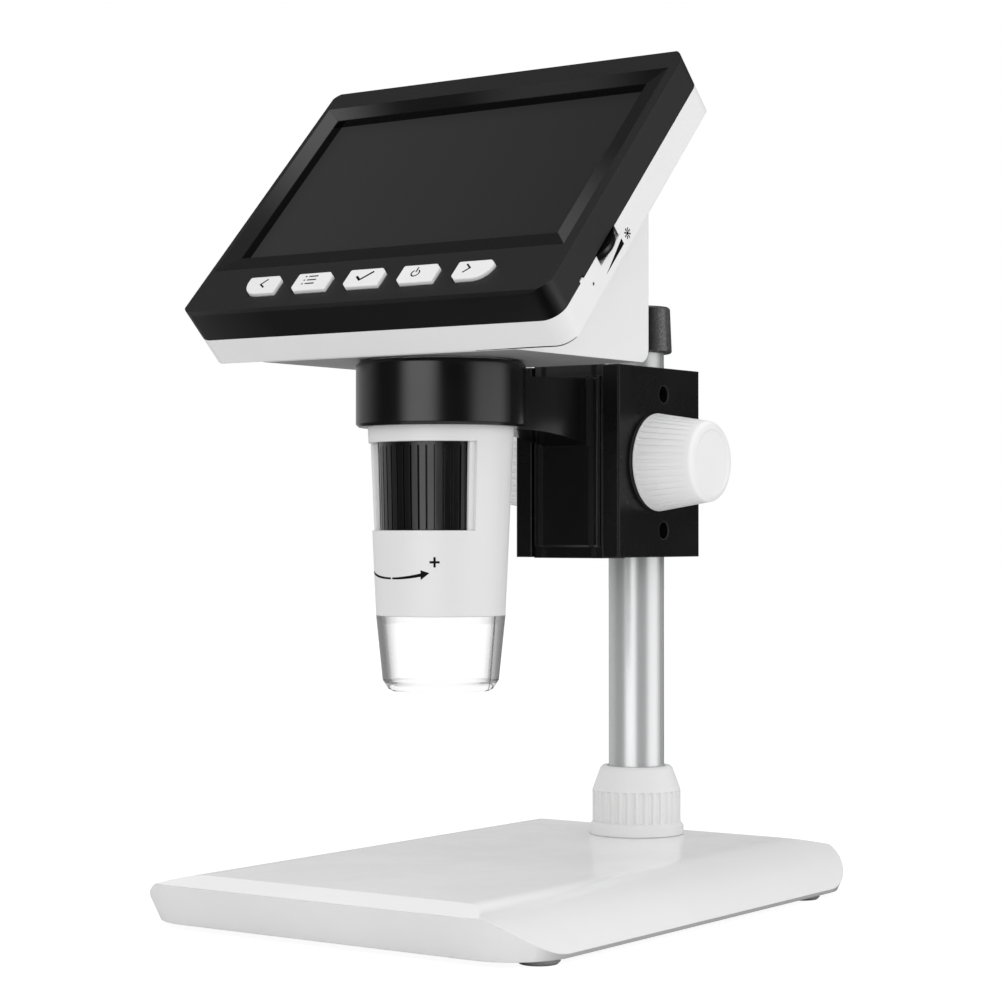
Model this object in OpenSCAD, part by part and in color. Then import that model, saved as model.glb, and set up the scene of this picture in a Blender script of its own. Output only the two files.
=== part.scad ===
// Desk digital microscope: a tilted screen head with a camera barrel below it,
// held in the ring of a rack-driven holder on a pole stand.
// Millimetres, Z up, the front of the stand towards -Y, the stand on Z = 0.

/* [Foot] */
// Width of the foot, left to right
base_w = 120; // [112:1:140]
// Depth of the foot, front to back
base_d = 165; // [160:1:190]
// Height of the flat top face above the table
base_top = 13.5; // [12.5:0.5:16]
// Corner radius of the foot, seen from above
base_corner = 20; // [17:0.5:24]
// Width of each rolled side, seen from the front
side_run = 20.7; // [15:0.1:21]
// Radius of the rolled sides
side_roll = 25; // [24:0.5:28]
// Wall of the foot
base_wall = 2; // [1.6:0.2:2.6]
// Height of the rubber feet
foot_h = 1.5; // [1:0.1:2]

/* [Pole] */
// Diameter of the pole
pole_d = 15.5; // [14:0.5:16.5]
// Wall of the pole
pole_wall = 1.5; // [1:0.1:2.5]
// Distance of the pole's axis from the back of the foot
pole_in = 22.3; // [21:0.1:26]
// Height of the upper end of the pole
pole_top = 157; // [155:0.5:180]
// Largest diameter of the rubber cap
cap_d = 19.9; // [18.5:0.1:22]
// Height of the collar nut
nut_h = 18.8; // [17:0.1:22]
// Largest diameter of the collar nut
nut_d = 26.2; // [25:0.1:28]
// Number of ribs round the collar nut
nut_ribs = 32; // [20:1:40]

/* [Focus block] */
// Width of the block, left to right
block_w = 33.2; // [32:0.2:38]
// Depth of the block, front to back
block_d = 41.4; // [41:0.1:44]
// Height of the block
block_h = 51.3; // [48:0.1:60]
// Height of the underside of the block above the table
block_z = 90.6; // [80:0.1:96]
// Distance of the front of the block before the pole's axis
block_fore = 34.9; // [34.2:0.1:35.2]
// Module of the rack and pinion
gear_m = 0.5; // [0.4:0.05:0.5]
// Teeth of the pinion
pinion_n = 20; // [18:1:20]

/* [Knobs] */
// Diameter of a knob beside the block
knob_d = 26.4; // [24:0.2:28]
// Diameter of a knob at its end
knob_end_d = 21.8; // [20:0.2:23]
// Length of a knob
knob_len = 17.2; // [15:0.1:19]
// Number of flutes round a knob
knob_flutes = 40; // [24:1:48]

/* [Holder] */
// Outer diameter of the ring
ring_d = 42.5; // [42:0.1:46]
// Height of the underside of the ring above the table
ring_z = 123.5; // [122:0.1:125]
// Width of the arm
arm_w = 15; // [12:0.5:16]

/* [Barrel] */
// Distance of the barrel's axis before the pole's axis
barrel_fore = 91.2; // [90.2:0.1:93.2]
// Diameter of the barrel in the ring
barrel_d = 36.5; // [36:0.1:37]
// Diameter of the barrel at its lower end
barrel_tip_d = 32.3; // [32:0.1:33]
// Height of the lower end of the barrel
barrel_tip_z = 76.7; // [75:0.1:78]
// Diameter of the clear hood at its lower end
hood_d = 29; // [28.5:0.1:30]
// Length of the clear hood below the barrel
hood_len = 18.8; // [14:0.1:22]
// Half angle of the barrel's window for the focus ring
window_half = 61; // [45:1:62]
// Number of grooves round the focus ring
focus_grooves = 46; // [24:1:48]

/* [Screen head] */
// Width of the head
head_w = 111.2; // [110:0.2:114]
// Reach of the head above the middle of the screen, along the face
head_up = 39.7; // [38.5:0.1:42]
// Reach of the head below the middle of the screen, along the face
head_down = 50; // [49.5:0.1:51]
// Slope of the screen from level
tilt = 46; // [45:0.5:47]
// Distance of the screen's middle before the barrel's axis
head_fore = 1.1; // [0:0.1:2]
// Height of the screen's middle
head_z = 187.9; // [187.5:0.1:189]
// Depth of the black bezel
bezel_t = 9; // [8.6:0.1:9.4]
// Depth of the white slab behind the bezel
slab_t = 8.2; // [8:0.1:9]
// Width of the bezel beside the screen window
window_side = 7; // [6.6:0.1:9]
// Height of the screen window
window_h = 56; // [52:0.2:56.6]
// Width of the body behind the slab
wedge_w = 77.4; // [70:0.2:84]
// Distance of the body's back behind the barrel's axis
wedge_aft = 35.8; // [34:0.1:37]
// Height of the body's underside
wedge_z = 140.1; // [140:0.1:140.6]
// Wall of the head
head_wall = 2; // [1.8:0.1:2.2]

/* [Buttons] */
// Distance between the buttons
button_pitch = 16.25; // [15.5:0.05:16.5]
// Width of a button
button_w = 11.2; // [10.5:0.1:12.4]
// Height of a button along the face
button_h = 6.4; // [6.2:0.1:7.4]
// How far the buttons stand out
button_out = 0.9; // [0.8:0.1:1.6]

/* [Hidden] */
$fn = 96;
clear = 0.3;
fit = 0.05;
far = 200;

// Foot
base_x = base_w / 2;
base_y = base_d / 2;
base_flat = base_x - side_run;
band_run = 8.4;
band_lean = 0.226;
crease_z = base_top - band_run * band_lean;
tip_edge_z = base_top - side_roll + sqrt(pow(side_roll, 2) - pow(side_run, 2));
draft = 0.455;
draft_side = draft * (crease_z - tip_edge_z);
draft_low = draft * (crease_z - foot_h);
plate_t = 2;
plate_in = base_wall + draft_low + clear;
roll_x = base_flat + sqrt(pow(side_roll - base_wall, 2)
    - pow(foot_h + plate_t - base_top + side_roll, 2));
plate_x = min(base_x + draft_side - plate_in, roll_x - clear);
plate_y = base_y - plate_in;
screw_xy = [plate_x - 12, plate_y - 36];
foot_d = 10;
foot_x = base_x - 7;
foot_ys = [17.5 - base_y, base_y - 24.5];

// Pole, its socket and its nut
pole_y = base_y - pole_in;
pole_r = pole_d / 2;
pole_z = foot_h + plate_t + 1.6;
cap_h = 12.8;
cap_z = pole_top + 3 - cap_h;
stub_r = pole_r + 2.4;
stub_z = base_top + 10.5;
nut_r = nut_d / 2;
seat_r = nut_r + 0.1;
seat_z = base_top + 0.1;
nut_z = seat_z + fit;
nut_top = nut_z + nut_h;
nut_cone_z = nut_top - 6.6;
nut_rib_z = nut_z + 2.9;

// Block, dovetail, rack and pinion
block_y = pole_y - block_fore;
block_x = block_w / 2;
block_back = block_y + block_d;
block_top = block_z + block_h;
lip_x = 11.2;
tail_x = 13.6;
rib_x = 7;
lip_y = block_y + 1.7;
tail_y = block_y + 5.9;
tongue_y = block_y + 7.7;
rack_y = block_y + 9.5;
pitch_r = gear_m * pinion_n / 2;
knob_y = block_y + 18.2;
knob_z = block_z + block_h / 2 - 0.05;
pitch_y = knob_y - pitch_r;
tooth_p = PI * gear_m;
tooth_w = tooth_p / 2 - 0.16;
tip_h = gear_m;
root_h = 1.2 * gear_m;
tooth_lean = tan(20);
rack_half = 24;
rack_x = 4.5;
shaft_r = 2.5;
boss_out = 0.5;
boss_r = knob_d / 2 - 0.4;
knob_x = block_x + boss_out + clear;
slit = 1.5;
clamp_y = block_y + 22.6;
clamp_zs = [block_z + 7.2, block_top - 7.2];
clamp_hole = 4.7;
rear_r = pole_r + 3.1;

// Holder
barrel_y = pole_y - barrel_fore;
ring_top = wedge_z - 0.4;
ring_r = ring_d / 2;
bore_r = barrel_d / 2 + 0.3;
panel_x = 10.5;
panel_z = block_z + 2.8;
panel_top = block_top - 3;
panel_y = block_y - 0.5;
panel_edge = 0.5;
arm_low = ring_z + 0.2;
arm_drop = 138;
arm_root = 1.2;

// Head, in the frame of the screen: x across, y up the face, z out of the face
head_y = barrel_y - head_fore;
wedge_y = barrel_y + wedge_aft;
head_x = head_w / 2;
head_r = 5;
seam = -bezel_t;
slab_back = -bezel_t - slab_t;
slab_edge = 0.35;
cut_x = head_x - head_wall - 0.2;
cut_up = head_up - head_wall - 0.2;
cut_down = head_down - head_wall - 0.2;
window_w = head_w - 2 * window_side;
glass_top = -3.2;
glass_t = 1.4;
glass_x = window_w / 2 + 2.2;
glass_v = window_h / 2 + 2.4;
lcd_t = 2.85;
lcd_x = glass_x + 1.8;
lcd_up = glass_v + 1.6;
lcd_down = glass_v + 4.6;
lcd_z = glass_top - glass_t - fit - lcd_t;
rim_x = window_w / 2 + 4.9;
rim_up = window_h / 2 + 4.4;
rim_down = window_h / 2 + 5.7;
rim_deep = 1;
button_v = 8.4 - head_down;
button_shift = -0.25;
button_cut = 1.4;
button_sweep = button_h - button_cut - 0.3;
button_trims = [0.6, 0.4];
button_back_z = -4.4;
board_top = -7.4;
board_t = 1;
board_x = 2 * button_pitch + button_w / 2 + 2.6;
board_h = button_h + 2;
wheel_r = 8;
wheel_v = -22.5;
wheel_x = head_x + 1.6 - wheel_r;
wheel_z = seam - 2.6;
wheel_t = 2.4;
wheel_pin_r = 1.5;
reset_v = -33.4;
reset_z = -12.7;
reset_d = 0.8;
nub_v = -37.5;
nub_w = 1.6;
nub_h = 0.5;
nub_deep = 1;
main_z = -14.4;
main_t = 1.4;
main_left = 5.1 - head_x;
main_right = wedge_w / 2 + 0.8;
main_v = window_h / 2 + 2;
usb_v = -10;
card_v = 12;
screw_x = head_x - 7.4;
screw_vs = [-head_down + 7.6, head_up - 4.7];
cell_r = 9.1;
cell_half = 32.5;
cell_pin_r = 3;
cell_pin = 0.5;
cell_y = wedge_y - 13.4;
cell_z = wedge_z + 17;

// Barrel
barrel_r = barrel_d / 2;
tip_r = barrel_tip_d / 2;
barrel_top = wedge_z + head_wall + 1.9;
chamber_z = 96.8;
window_z = 97.8;
window_top = 119.6;
tip_taper = (barrel_r - tip_r) / (ring_z - barrel_tip_z);
hood_z = barrel_tip_z - hood_len;
focus_r = 15.5;
focus_low_r = 14.95;
guide_r = 12.6;
carrier_z = 90;
carrier_h = 21;
lens_r = 8.45;
lens_zs = [3, 15];
lens_ts = [3, 2.5];
sensor_z = chamber_z + 25.2;
sensor_h = 11;
sensor_seat = 8;
sensor_r = 13.5;
chip_w = 8;
led_bore_r = 14.5;

// Shared shapes

// Outline with round corners between two x and two y values
module rounded_rect(x0, x1, y0, y1, r) {
    translate([x0 + r, y0]) square([x1 - x0 - 2 * r, y1 - y0]);
    translate([x0, y0 + r]) square([x1 - x0, y1 - y0 - 2 * r]);
    for (x = [x0 + r, x1 - r], y = [y0 + r, y1 - r]) translate([x, y]) circle(r);
}

// Outline drawn in (y, z), pushed along x to both sides
module along_x(width) {
    rotate([90, 0, 90]) linear_extrude(width, center = true) children();
}

// Outline drawn in (x, z), pushed along y to both sides
module along_y(depth) {
    rotate([90, 0, 0]) linear_extrude(depth, center = true) children();
}

// Places its children in the frame of the screen
module on_screen() {
    translate([0, head_y, head_z]) rotate([tilt, 0, 0]) children();
}

// Cross-headed screw, its head's underside at 0 and its tip below
module screw(d, len, head, head_h) {
    difference() {
        union() {
            translate([0, 0, -len]) cylinder(d = d, h = len + 0.01);
            cylinder(d = head, h = head_h);
        }
        for (a = [0, 90]) rotate([0, 0, a])
            translate([-head * 0.32, -head * 0.07, head_h * 0.45])
                cube([head * 0.64, head * 0.14, head_h]);
    }
}

// Foot walls: they lean inwards below the crease, with a cone at each corner
module foot_walls(inset, z0) {
    z1 = base_top + 1;
    x = base_x + draft_side - inset;
    y = base_y - inset;
    r = base_corner - inset;
    low = draft * (crease_z - z0);
    high = draft * (crease_z - z1);
    for (i = [-1, 1], j = [-1, 1]) translate([i * (x - r), j * (y - r), z0])
        cylinder(r1 = r - low, r2 = r - high, h = z1 - z0);
    along_x(2 * (x - r)) polygon([[low - y, z0], [y - low, z0], [y - high, z1], [high - y, z1]]);
    along_y(2 * (y - r)) polygon([[low - x, z0], [x - low, z0], [x - high, z1], [high - x, z1]]);
}

// Foot: leaning walls, rolled sides and a bevelled band along the front and the back
module foot_form(inset, z0) {
    y = base_y - inset;
    top = base_top - inset;
    flat_y = y - band_run;
    over = 4;
    intersection() {
        foot_walls(inset, z0);
        along_y(2 * base_d) union() {
            translate([-base_flat, z0 - 1]) square([2 * base_flat, top - z0 + 1]);
            for (s = [-1, 1]) translate([s * base_flat, base_top - side_roll])
                circle(side_roll - inset);
        }
        along_x(2 * base_w) polygon([
            [-y - over, z0 - 1], [y + over, z0 - 1], [y + over, top - (band_run + over) * band_lean],
            [flat_y - over, top + over * band_lean], [over - flat_y, top + over * band_lean],
            [-y - over, top - (band_run + over) * band_lean]
        ]);
    }
}

module plate_screw_places() {
    for (x = [-1, 1], y = [-1, 1]) translate([x * screw_xy[0], y * screw_xy[1], 0]) children();
}

module base_shell() {
    color("whitesmoke") difference() {
        union() {
            difference() {
                foot_form(0, foot_h);
                foot_form(base_wall, foot_h - 1);
            }
            intersection() {
                foot_form(0, foot_h);
                union() {
                    translate([0, pole_y, foot_h + plate_t + 0.1])
                        cylinder(r = pole_r + 4, h = base_top);
                    plate_screw_places() translate([0, 0, foot_h + plate_t + 0.1])
                        cylinder(d = 7, h = base_top);
                }
            }
            translate([0, pole_y, base_top - 1]) {
                cylinder(r = stub_r, h = stub_z - base_top + 1);
                cylinder(r = seat_r, h = seat_z - base_top + 1);
            }
        }
        translate([0, pole_y, pole_z]) cylinder(r = pole_r + fit, h = far);
        plate_screw_places() cylinder(d = 2.6, h = base_top - base_wall);
    }
}

module base_plate() {
    color("dimgray") difference() {
        translate([0, 0, foot_h]) linear_extrude(plate_t)
            rounded_rect(-plate_x, plate_x, -plate_y, plate_y, base_corner - plate_in);
        plate_screw_places() {
            cylinder(d = 2.8, h = 20);
            translate([0, 0, foot_h - 1]) cylinder(d = 5.6, h = 2);
        }
    }
}

module plate_screws() {
    color("silver") plate_screw_places()
        translate([0, 0, foot_h + 0.95]) mirror([0, 0, 1]) screw(2.5, 7, 5, 0.9);
}

module rubber_feet() {
    color("dimgray") for (x = [-foot_x, foot_x], y = foot_ys) translate([x, y, 0]) rotate_extrude()
        polygon([[0, 0], [foot_d / 2 - 0.6, 0], [foot_d / 2, 0.6], [foot_d / 2, foot_h], [0, foot_h]]);
}

module pole() {
    color("silver") translate([0, pole_y, pole_z]) difference() {
        cylinder(r = pole_r, h = pole_top - pole_z);
        translate([0, 0, -1]) cylinder(r = pole_r - pole_wall, h = pole_top);
    }
}

module pole_cap() {
    color("dimgray") translate([0, pole_y, cap_z]) difference() {
        rotate_extrude() polygon([
            [0, 0], [cap_d / 2 - 0.4, 0], [cap_d / 2, 0.4],
            [cap_d / 2 - 0.5, cap_h - 0.5], [cap_d / 2 - 1, cap_h], [0, cap_h]
        ]);
        translate([0, 0, -1]) cylinder(r = pole_r, h = pole_top - cap_z + 1);
    }
}

// Nut: a cone above a ribbed band and a smooth lower rim
module collar_nut() {
    band_r = nut_r - 0.85;
    color("whitesmoke") translate([0, pole_y, 0]) difference() {
        rotate_extrude() polygon([
            [pole_r + clear, nut_top], [pole_r + 1.6, nut_top], [pole_r + 2.3, nut_top - 0.6],
            [band_r, nut_cone_z], [band_r, nut_rib_z + 0.4], [nut_r, nut_rib_z - 0.6],
            [nut_r, nut_z], [stub_r + clear, nut_z], [stub_r + clear, stub_z + 1],
            [pole_r + clear, nut_top - 1.2]
        ]);
        for (i = [0 : nut_ribs - 1]) rotate([0, 0, (i + 0.5) * 360 / nut_ribs])
            translate([band_r + 0.2, 0, nut_rib_z + 0.6])
                cylinder(d = 1.4, h = nut_cone_z - nut_rib_z - 0.8, $fn = 24);
    }
}

// Split ring between the nut's cone and the pole
module collet() {
    low = stub_z + 0.2;
    color("gainsboro") translate([0, pole_y, 0]) difference() {
        rotate_extrude() polygon([
            [pole_r + 0.01, low], [stub_r - 0.5, low], [stub_r - 0.5, low + 0.8],
            [pole_r + 0.7, nut_top - 2.4], [pole_r + 0.01, nut_top - 2.4]
        ]);
        translate([-0.6, 0, low - 1]) cube([1.2, stub_r + 1, 10]);
    }
}

// Groove or tongue of the dovetail, seen from above; room widens it
module dovetail(front, room) {
    polygon([
        [-lip_x - room, front], [lip_x + room, front], [lip_x + room, lip_y],
        [tail_x + room, tail_y], [tail_x + room, tongue_y + room],
        [rib_x + room, tongue_y + room], [-rib_x - room, tongue_y + room],
        [-tail_x - room, tongue_y + room], [-tail_x - room, tail_y], [-lip_x - room, lip_y]
    ]);
}

module focus_block() {
    channel_y = pitch_y + tip_h + 0.6;
    color([0.1, 0.1, 0.1]) difference() {
        union() {
            translate([0, 0, block_z]) linear_extrude(block_h)
                rounded_rect(-block_x, block_x, block_y, block_back, 0.6);
            translate([0, pole_y, block_z]) cylinder(r = rear_r, h = block_h);
            translate([0, knob_y, knob_z]) rotate([0, 90, 0])
                cylinder(r = boss_r, h = block_w + 2 * boss_out, center = true);
        }
        translate([0, pole_y, 0]) cylinder(r = pole_r + fit, h = far);
        translate([0, 0, block_z - 1]) linear_extrude(block_h + 2) dovetail(block_y - 1, clear);
        translate([-rib_x - clear, tongue_y, block_z - 1])
            cube([2 * (rib_x + clear), channel_y - tongue_y, block_h + 2]);
        translate([-slit / 2, channel_y + 3, block_z - 1])
            cube([slit, pole_y - channel_y - 3, block_h + 2]);
        translate([0, knob_y, knob_z]) rotate([0, 90, 0]) {
            cylinder(r = pitch_r + tip_h + 0.5, h = 2 * rack_x + 1.4, center = true);
            cylinder(r = shaft_r + fit, h = far, center = true);
        }
        for (z = clamp_zs) translate([0, clamp_y, z]) rotate([0, 90, 0]) {
            translate([0, 0, 8]) cylinder(d = clamp_hole, h = block_w);
            translate([0, 0, -10]) cylinder(d = 2.9, h = 20);
        }
    }
}

module clamp_screws() {
    color("dimgray") for (z = clamp_zs) translate([8.05, clamp_y, z]) rotate([0, 90, 0])
        difference() {
            union() {
                translate([0, 0, -17]) cylinder(d = 2.8, h = 17.01);
                cylinder(d = clamp_hole - 0.4, h = 3);
            }
            translate([0, 0, 1.2]) cylinder(d = 2.5, h = 3, $fn = 6);
        }
}

module knob_shaft() {
    color("silver") translate([0, knob_y, knob_z]) rotate([0, 90, 0])
        cylinder(r = shaft_r, h = 2 * (knob_x + knob_len - 4), center = true);
}

// Pinion teeth point at the rack in the rest position
module pinion() {
    root = pitch_r - root_h;
    tip = pitch_r + tip_h;
    function at(r, half, a) = let (b = a + half / r * 180 / PI) [-r * cos(b), r * sin(b)];
    pts = [for (i = [0 : pinion_n - 1], c = [
        [root, -tooth_w / 2 - root_h * tooth_lean], [tip, -tooth_w / 2 + tip_h * tooth_lean],
        [tip, tooth_w / 2 - tip_h * tooth_lean], [root, tooth_w / 2 + root_h * tooth_lean]
    ]) at(c[0], c[1], i * 360 / pinion_n)];
    color("goldenrod") translate([0, knob_y, knob_z]) along_x(2 * rack_x) difference() {
        polygon(pts);
        circle(shaft_r);
    }
}

// Knob with its wide end at x = 0 and its free end towards +x
module knob() {
    r0 = knob_d / 2;
    r1 = knob_end_d / 2;
    lean = atan((r0 - r1) / knob_len);
    rim = 1.8;
    dish = 0.15;
    face_r = r1 - rim - 0.6;
    color("whitesmoke") rotate([0, 90, 0]) difference() {
        rotate_extrude() polygon([
            [0, 0], [r0 - 0.4, 0], [r0, 0.4],
            for (a = [0 : 15 : 90]) [r1 - rim + rim * cos(a), knob_len - rim + rim * sin(a)],
            [face_r, knob_len], [face_r - 0.3, knob_len - dish], [0, knob_len - dish]
        ]);
        for (i = [0 : knob_flutes - 1]) rotate([0, 0, i * 360 / knob_flutes])
            translate([r0, 0, 0]) rotate([0, -lean, 0]) translate([-0.28, -0.4, 0.9])
                cube([2, 0.8, knob_len - 3.4]);
        translate([0, 0, -1]) cylinder(r = shaft_r, h = knob_len - 3);
    }
}

module knob_right() {
    translate([knob_x, knob_y, knob_z]) knob();
}

module knob_left() {
    translate([-knob_x, knob_y, knob_z]) mirror([1, 0, 0]) knob();
}

// Holder: dovetail tongue, framed panel, arm and ring
module holder() {
    low = block_z - 0.2;
    arm_x = arm_w / 2;
    color([0.12, 0.12, 0.12]) difference() {
        union() {
            translate([0, 0, low]) linear_extrude(block_h + 0.4) {
                dovetail(block_y + 1, 0);
                translate([-rib_x, tongue_y - 1]) square([2 * rib_x, rack_y - tongue_y + 1]);
            }
            intersection() {
                translate([0, 0, panel_z]) linear_extrude(panel_top - panel_z) polygon([
                    [-panel_x, block_y + 2], [-panel_x, panel_y + panel_edge],
                    [-panel_x + panel_edge, panel_y], [panel_x - panel_edge, panel_y],
                    [panel_x, panel_y + panel_edge], [panel_x, block_y + 2]
                ]);
                along_x(3 * panel_x) polygon([
                    [block_y + 2, panel_z], [panel_y + panel_edge, panel_z],
                    [panel_y, panel_z + panel_edge], [panel_y, panel_top - panel_edge],
                    [panel_y + panel_edge, panel_top], [block_y + 2, panel_top]
                ]);
            }
            intersection() {
                along_x(2 * panel_x) difference() {
                    polygon([
                        [barrel_y + bore_r - 1, ring_z - 5], [panel_y + 0.5, ring_z - 5],
                        [panel_y + 0.5, panel_top - 0.6], [barrel_y + bore_r - 1, ring_top - 2.6]
                    ]);
                    translate([-5, arm_low - arm_drop]) circle(arm_drop, $fn = 360);
                }
                linear_extrude(far) difference() {
                    union() {
                        translate([-arm_x, barrel_y]) square([arm_w, panel_y + 0.5 - barrel_y]);
                        translate([-arm_x - arm_root, panel_y - arm_root])
                            square([arm_w + 2 * arm_root, arm_root + 0.5]);
                    }
                    for (s = [-1, 1]) translate([s * (arm_x + arm_root), panel_y - arm_root])
                        circle(arm_root);
                }
            }
            translate([0, barrel_y, 0]) rotate_extrude() polygon([
                [0, ring_z], [ring_r - 0.7, ring_z], [ring_r, ring_z + 0.7],
                [ring_r, ring_top - 0.8], [ring_r - 0.8, ring_top], [0, ring_top]
            ]);
        }
        translate([0, barrel_y, 0]) cylinder(r = bore_r, h = far);
        for (s = [-1, 1]) translate([0, rack_y - 5, knob_z + s * (rack_half - 2.4)])
            rotate([-90, 0, 0]) cylinder(d = 1.9, h = 6);
    }
}

// Rack: gaps stand opposite the pinion's teeth in the rest position
module rack() {
    count = floor(rack_half / tooth_p);
    color("goldenrod") difference() {
        along_x(2 * rack_x) union() {
            translate([rack_y, knob_z - rack_half])
                square([pitch_y - root_h - rack_y, 2 * rack_half]);
            for (i = [-count : count - 1]) translate([pitch_y, knob_z + (i + 0.5) * tooth_p])
                polygon([
                    [-root_h - 0.1, -tooth_w / 2 - root_h * tooth_lean],
                    [tip_h, -tooth_w / 2 + tip_h * tooth_lean],
                    [tip_h, tooth_w / 2 - tip_h * tooth_lean],
                    [-root_h - 0.1, tooth_w / 2 + root_h * tooth_lean]
                ]);
        }
        for (s = [-1, 1]) translate([0, rack_y - 1, knob_z + s * (rack_half - 2.4)])
            rotate([-90, 0, 0]) {
                cylinder(d = 2, h = 20);
                translate([0, 0, 2.2]) cylinder(d = 3.8, h = 20);
            }
    }
}

module rack_screws() {
    color("silver") for (s = [-1, 1])
        translate([0, rack_y + 1.25, knob_z + s * (rack_half - 2.4)])
            rotate([-90, 0, 0]) screw(1.8, 5.5, 3.4, 1);
}

// Screen head

// Slab with round corners and a chamfer round its face at z1, or round its back at z0
module slab(z0, z1, front_edge, back_edge) {
    intersection() {
        translate([0, 0, z0]) linear_extrude(z1 - z0)
            rounded_rect(-head_x, head_x, -head_down, head_up, head_r);
        along_y(far) polygon([
            [-head_x + back_edge, z0], [head_x - back_edge, z0], [head_x, z0 + back_edge],
            [head_x, z1 - front_edge], [head_x - front_edge, z1], [-head_x + front_edge, z1],
            [-head_x, z1 - front_edge], [-head_x, z0 + back_edge]
        ]);
        along_x(far) polygon([
            [-head_down + back_edge, z0], [head_up - back_edge, z0], [head_up, z0 + back_edge],
            [head_up, z1 - front_edge], [head_up - front_edge, z1], [-head_down + front_edge, z1],
            [-head_down, z1 - front_edge], [-head_down, z0 + back_edge]
        ]);
    }
}

// Outline of a button: the middle ones have two cut corners, the end ones a swept one
module button_outline(kind, grow) {
    left = (kind == "first" ? button_trims[0] : 0) - button_w / 2 - grow;
    right = button_w / 2 + grow - (kind == "last" ? button_trims[1] : 0);
    y = button_h / 2 + grow;
    cut = button_cut + 0.6 * grow;
    sweep = button_sweep + grow;
    difference() {
        polygon([
            [left, y], [right - cut, y], [right, y - cut], [right, -y],
            each kind == "first" ? [[left, -y]] : [[left + cut, -y], [left, -y + cut]]
        ]);
        if (kind != "middle") difference() {
            translate([kind == "first" ? left - 1 : right - sweep, -y - 1]) square(sweep + 1);
            translate([kind == "first" ? left + sweep : right - sweep, -y + sweep]) circle(sweep);
        }
    }
}

function button_kind(i) = i == -2 ? "first" : i == 2 ? "last" : "middle";
function button_x(i) = i * button_pitch + button_shift;

module button(i) {
    kind = button_kind(i);
    color("whitesmoke") on_screen() translate([button_x(i), button_v, 0]) {
        translate([0, 0, glass_top - 1]) linear_extrude(-glass_top + 1 + button_out - 0.4)
            button_outline(kind, 0);
        translate([0, 0, button_out - 0.41]) linear_extrude(0.41) button_outline(kind, -0.4);
        translate([0, 0, glass_top - 1]) linear_extrude(0.8) button_outline(kind, 0.7);
        translate([0, 0, button_back_z]) cylinder(d = 3, h = 1);
    }
}

module button_back() { button(-2); }
module button_menu() { button(-1); }
module button_ok() { button(0); }
module button_power() { button(1); }
module button_next() { button(2); }

module shell_screw_places() {
    for (s = [-1, 1], v = screw_vs) translate([s * screw_x, v, 0]) children();
}

module front_bezel() {
    color([0.13, 0.13, 0.13]) on_screen() difference() {
        union() {
            difference() {
                slab(seam, 0, 0.7, 0);
                translate([0, 0, seam - 1]) linear_extrude(glass_top - seam + 1)
                    rounded_rect(-cut_x, cut_x, -cut_down, cut_up, head_r - head_wall);
            }
            shell_screw_places() translate([0, 0, seam]) cylinder(d = 4.4, h = bezel_t - 1);
            for (i = [-1.5 : 1.5]) translate([button_x(i), button_v, board_top])
                cylinder(d = 2.2, h = -board_top - 1);
        }
        intersection() {
            along_y(far) polygon([
                [-rim_x - 1, 1], [-rim_x, 0], [-window_w / 2, -rim_deep],
                [window_w / 2, -rim_deep], [rim_x, 0], [rim_x + 1, 1]
            ]);
            along_x(far) polygon([
                [-rim_down - 1, 1], [-rim_down, 0], [-window_h / 2, -rim_deep],
                [window_h / 2, -rim_deep], [rim_up, 0], [rim_up + 1, 1]
            ]);
        }
        translate([-window_w / 2, -window_h / 2, -20]) cube([window_w, window_h, 30]);
        for (i = [-2 : 2]) translate([button_x(i), button_v, -20]) linear_extrude(30)
            button_outline(button_kind(i), 0.25);
        translate([wheel_x, wheel_v, seam - 1]) cylinder(r = wheel_r + 0.4, h = 1.3);
        translate([head_x - nub_deep - clear, nub_v - fit, seam - 1])
            cube([2, nub_w + 2 * clear, nub_h + clear + 1]);
        shell_screw_places() translate([0, 0, seam - 1]) cylinder(d = 1.9, h = 7);
    }
}

module screen_glass() {
    color([0.18, 0.18, 0.19]) on_screen() translate([0, 0, glass_top - glass_t])
        linear_extrude(glass_t) rounded_rect(-glass_x, glass_x, -glass_v, glass_v, 0.5);
}

module lcd_panel() {
    color("silver") on_screen() translate([-lcd_x, -lcd_down, lcd_z])
        cube([2 * lcd_x, lcd_down + lcd_up, lcd_t]);
}

// Outline of the body behind the slab, in (y, z), shrunk by the wall
module wedge_outline(inset) {
    back = wedge_y - inset;
    low = wedge_z + inset;
    r = 3.5 - inset;
    difference() {
        translate([head_y - head_down, low]) square([back - head_y + head_down, far / 2]);
        translate([back - r, low - 1]) square(r + 1);
    }
    translate([back - r, low + r]) circle(r);
}

// Inside of the rear shell: the slab's room and the body's room run into each other
module shell_room() {
    on_screen() translate([0, 0, slab_back + head_wall]) linear_extrude(slab_t)
        rounded_rect(-cut_x, cut_x, -cut_down, cut_up, head_r - head_wall);
    intersection() {
        along_x(wedge_w - 2 * head_wall) wedge_outline(head_wall);
        on_screen() translate([-far, -cut_down, -far])
            cube([2 * far, cut_down + cut_up, far + seam - 0.5]);
    }
}

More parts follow.
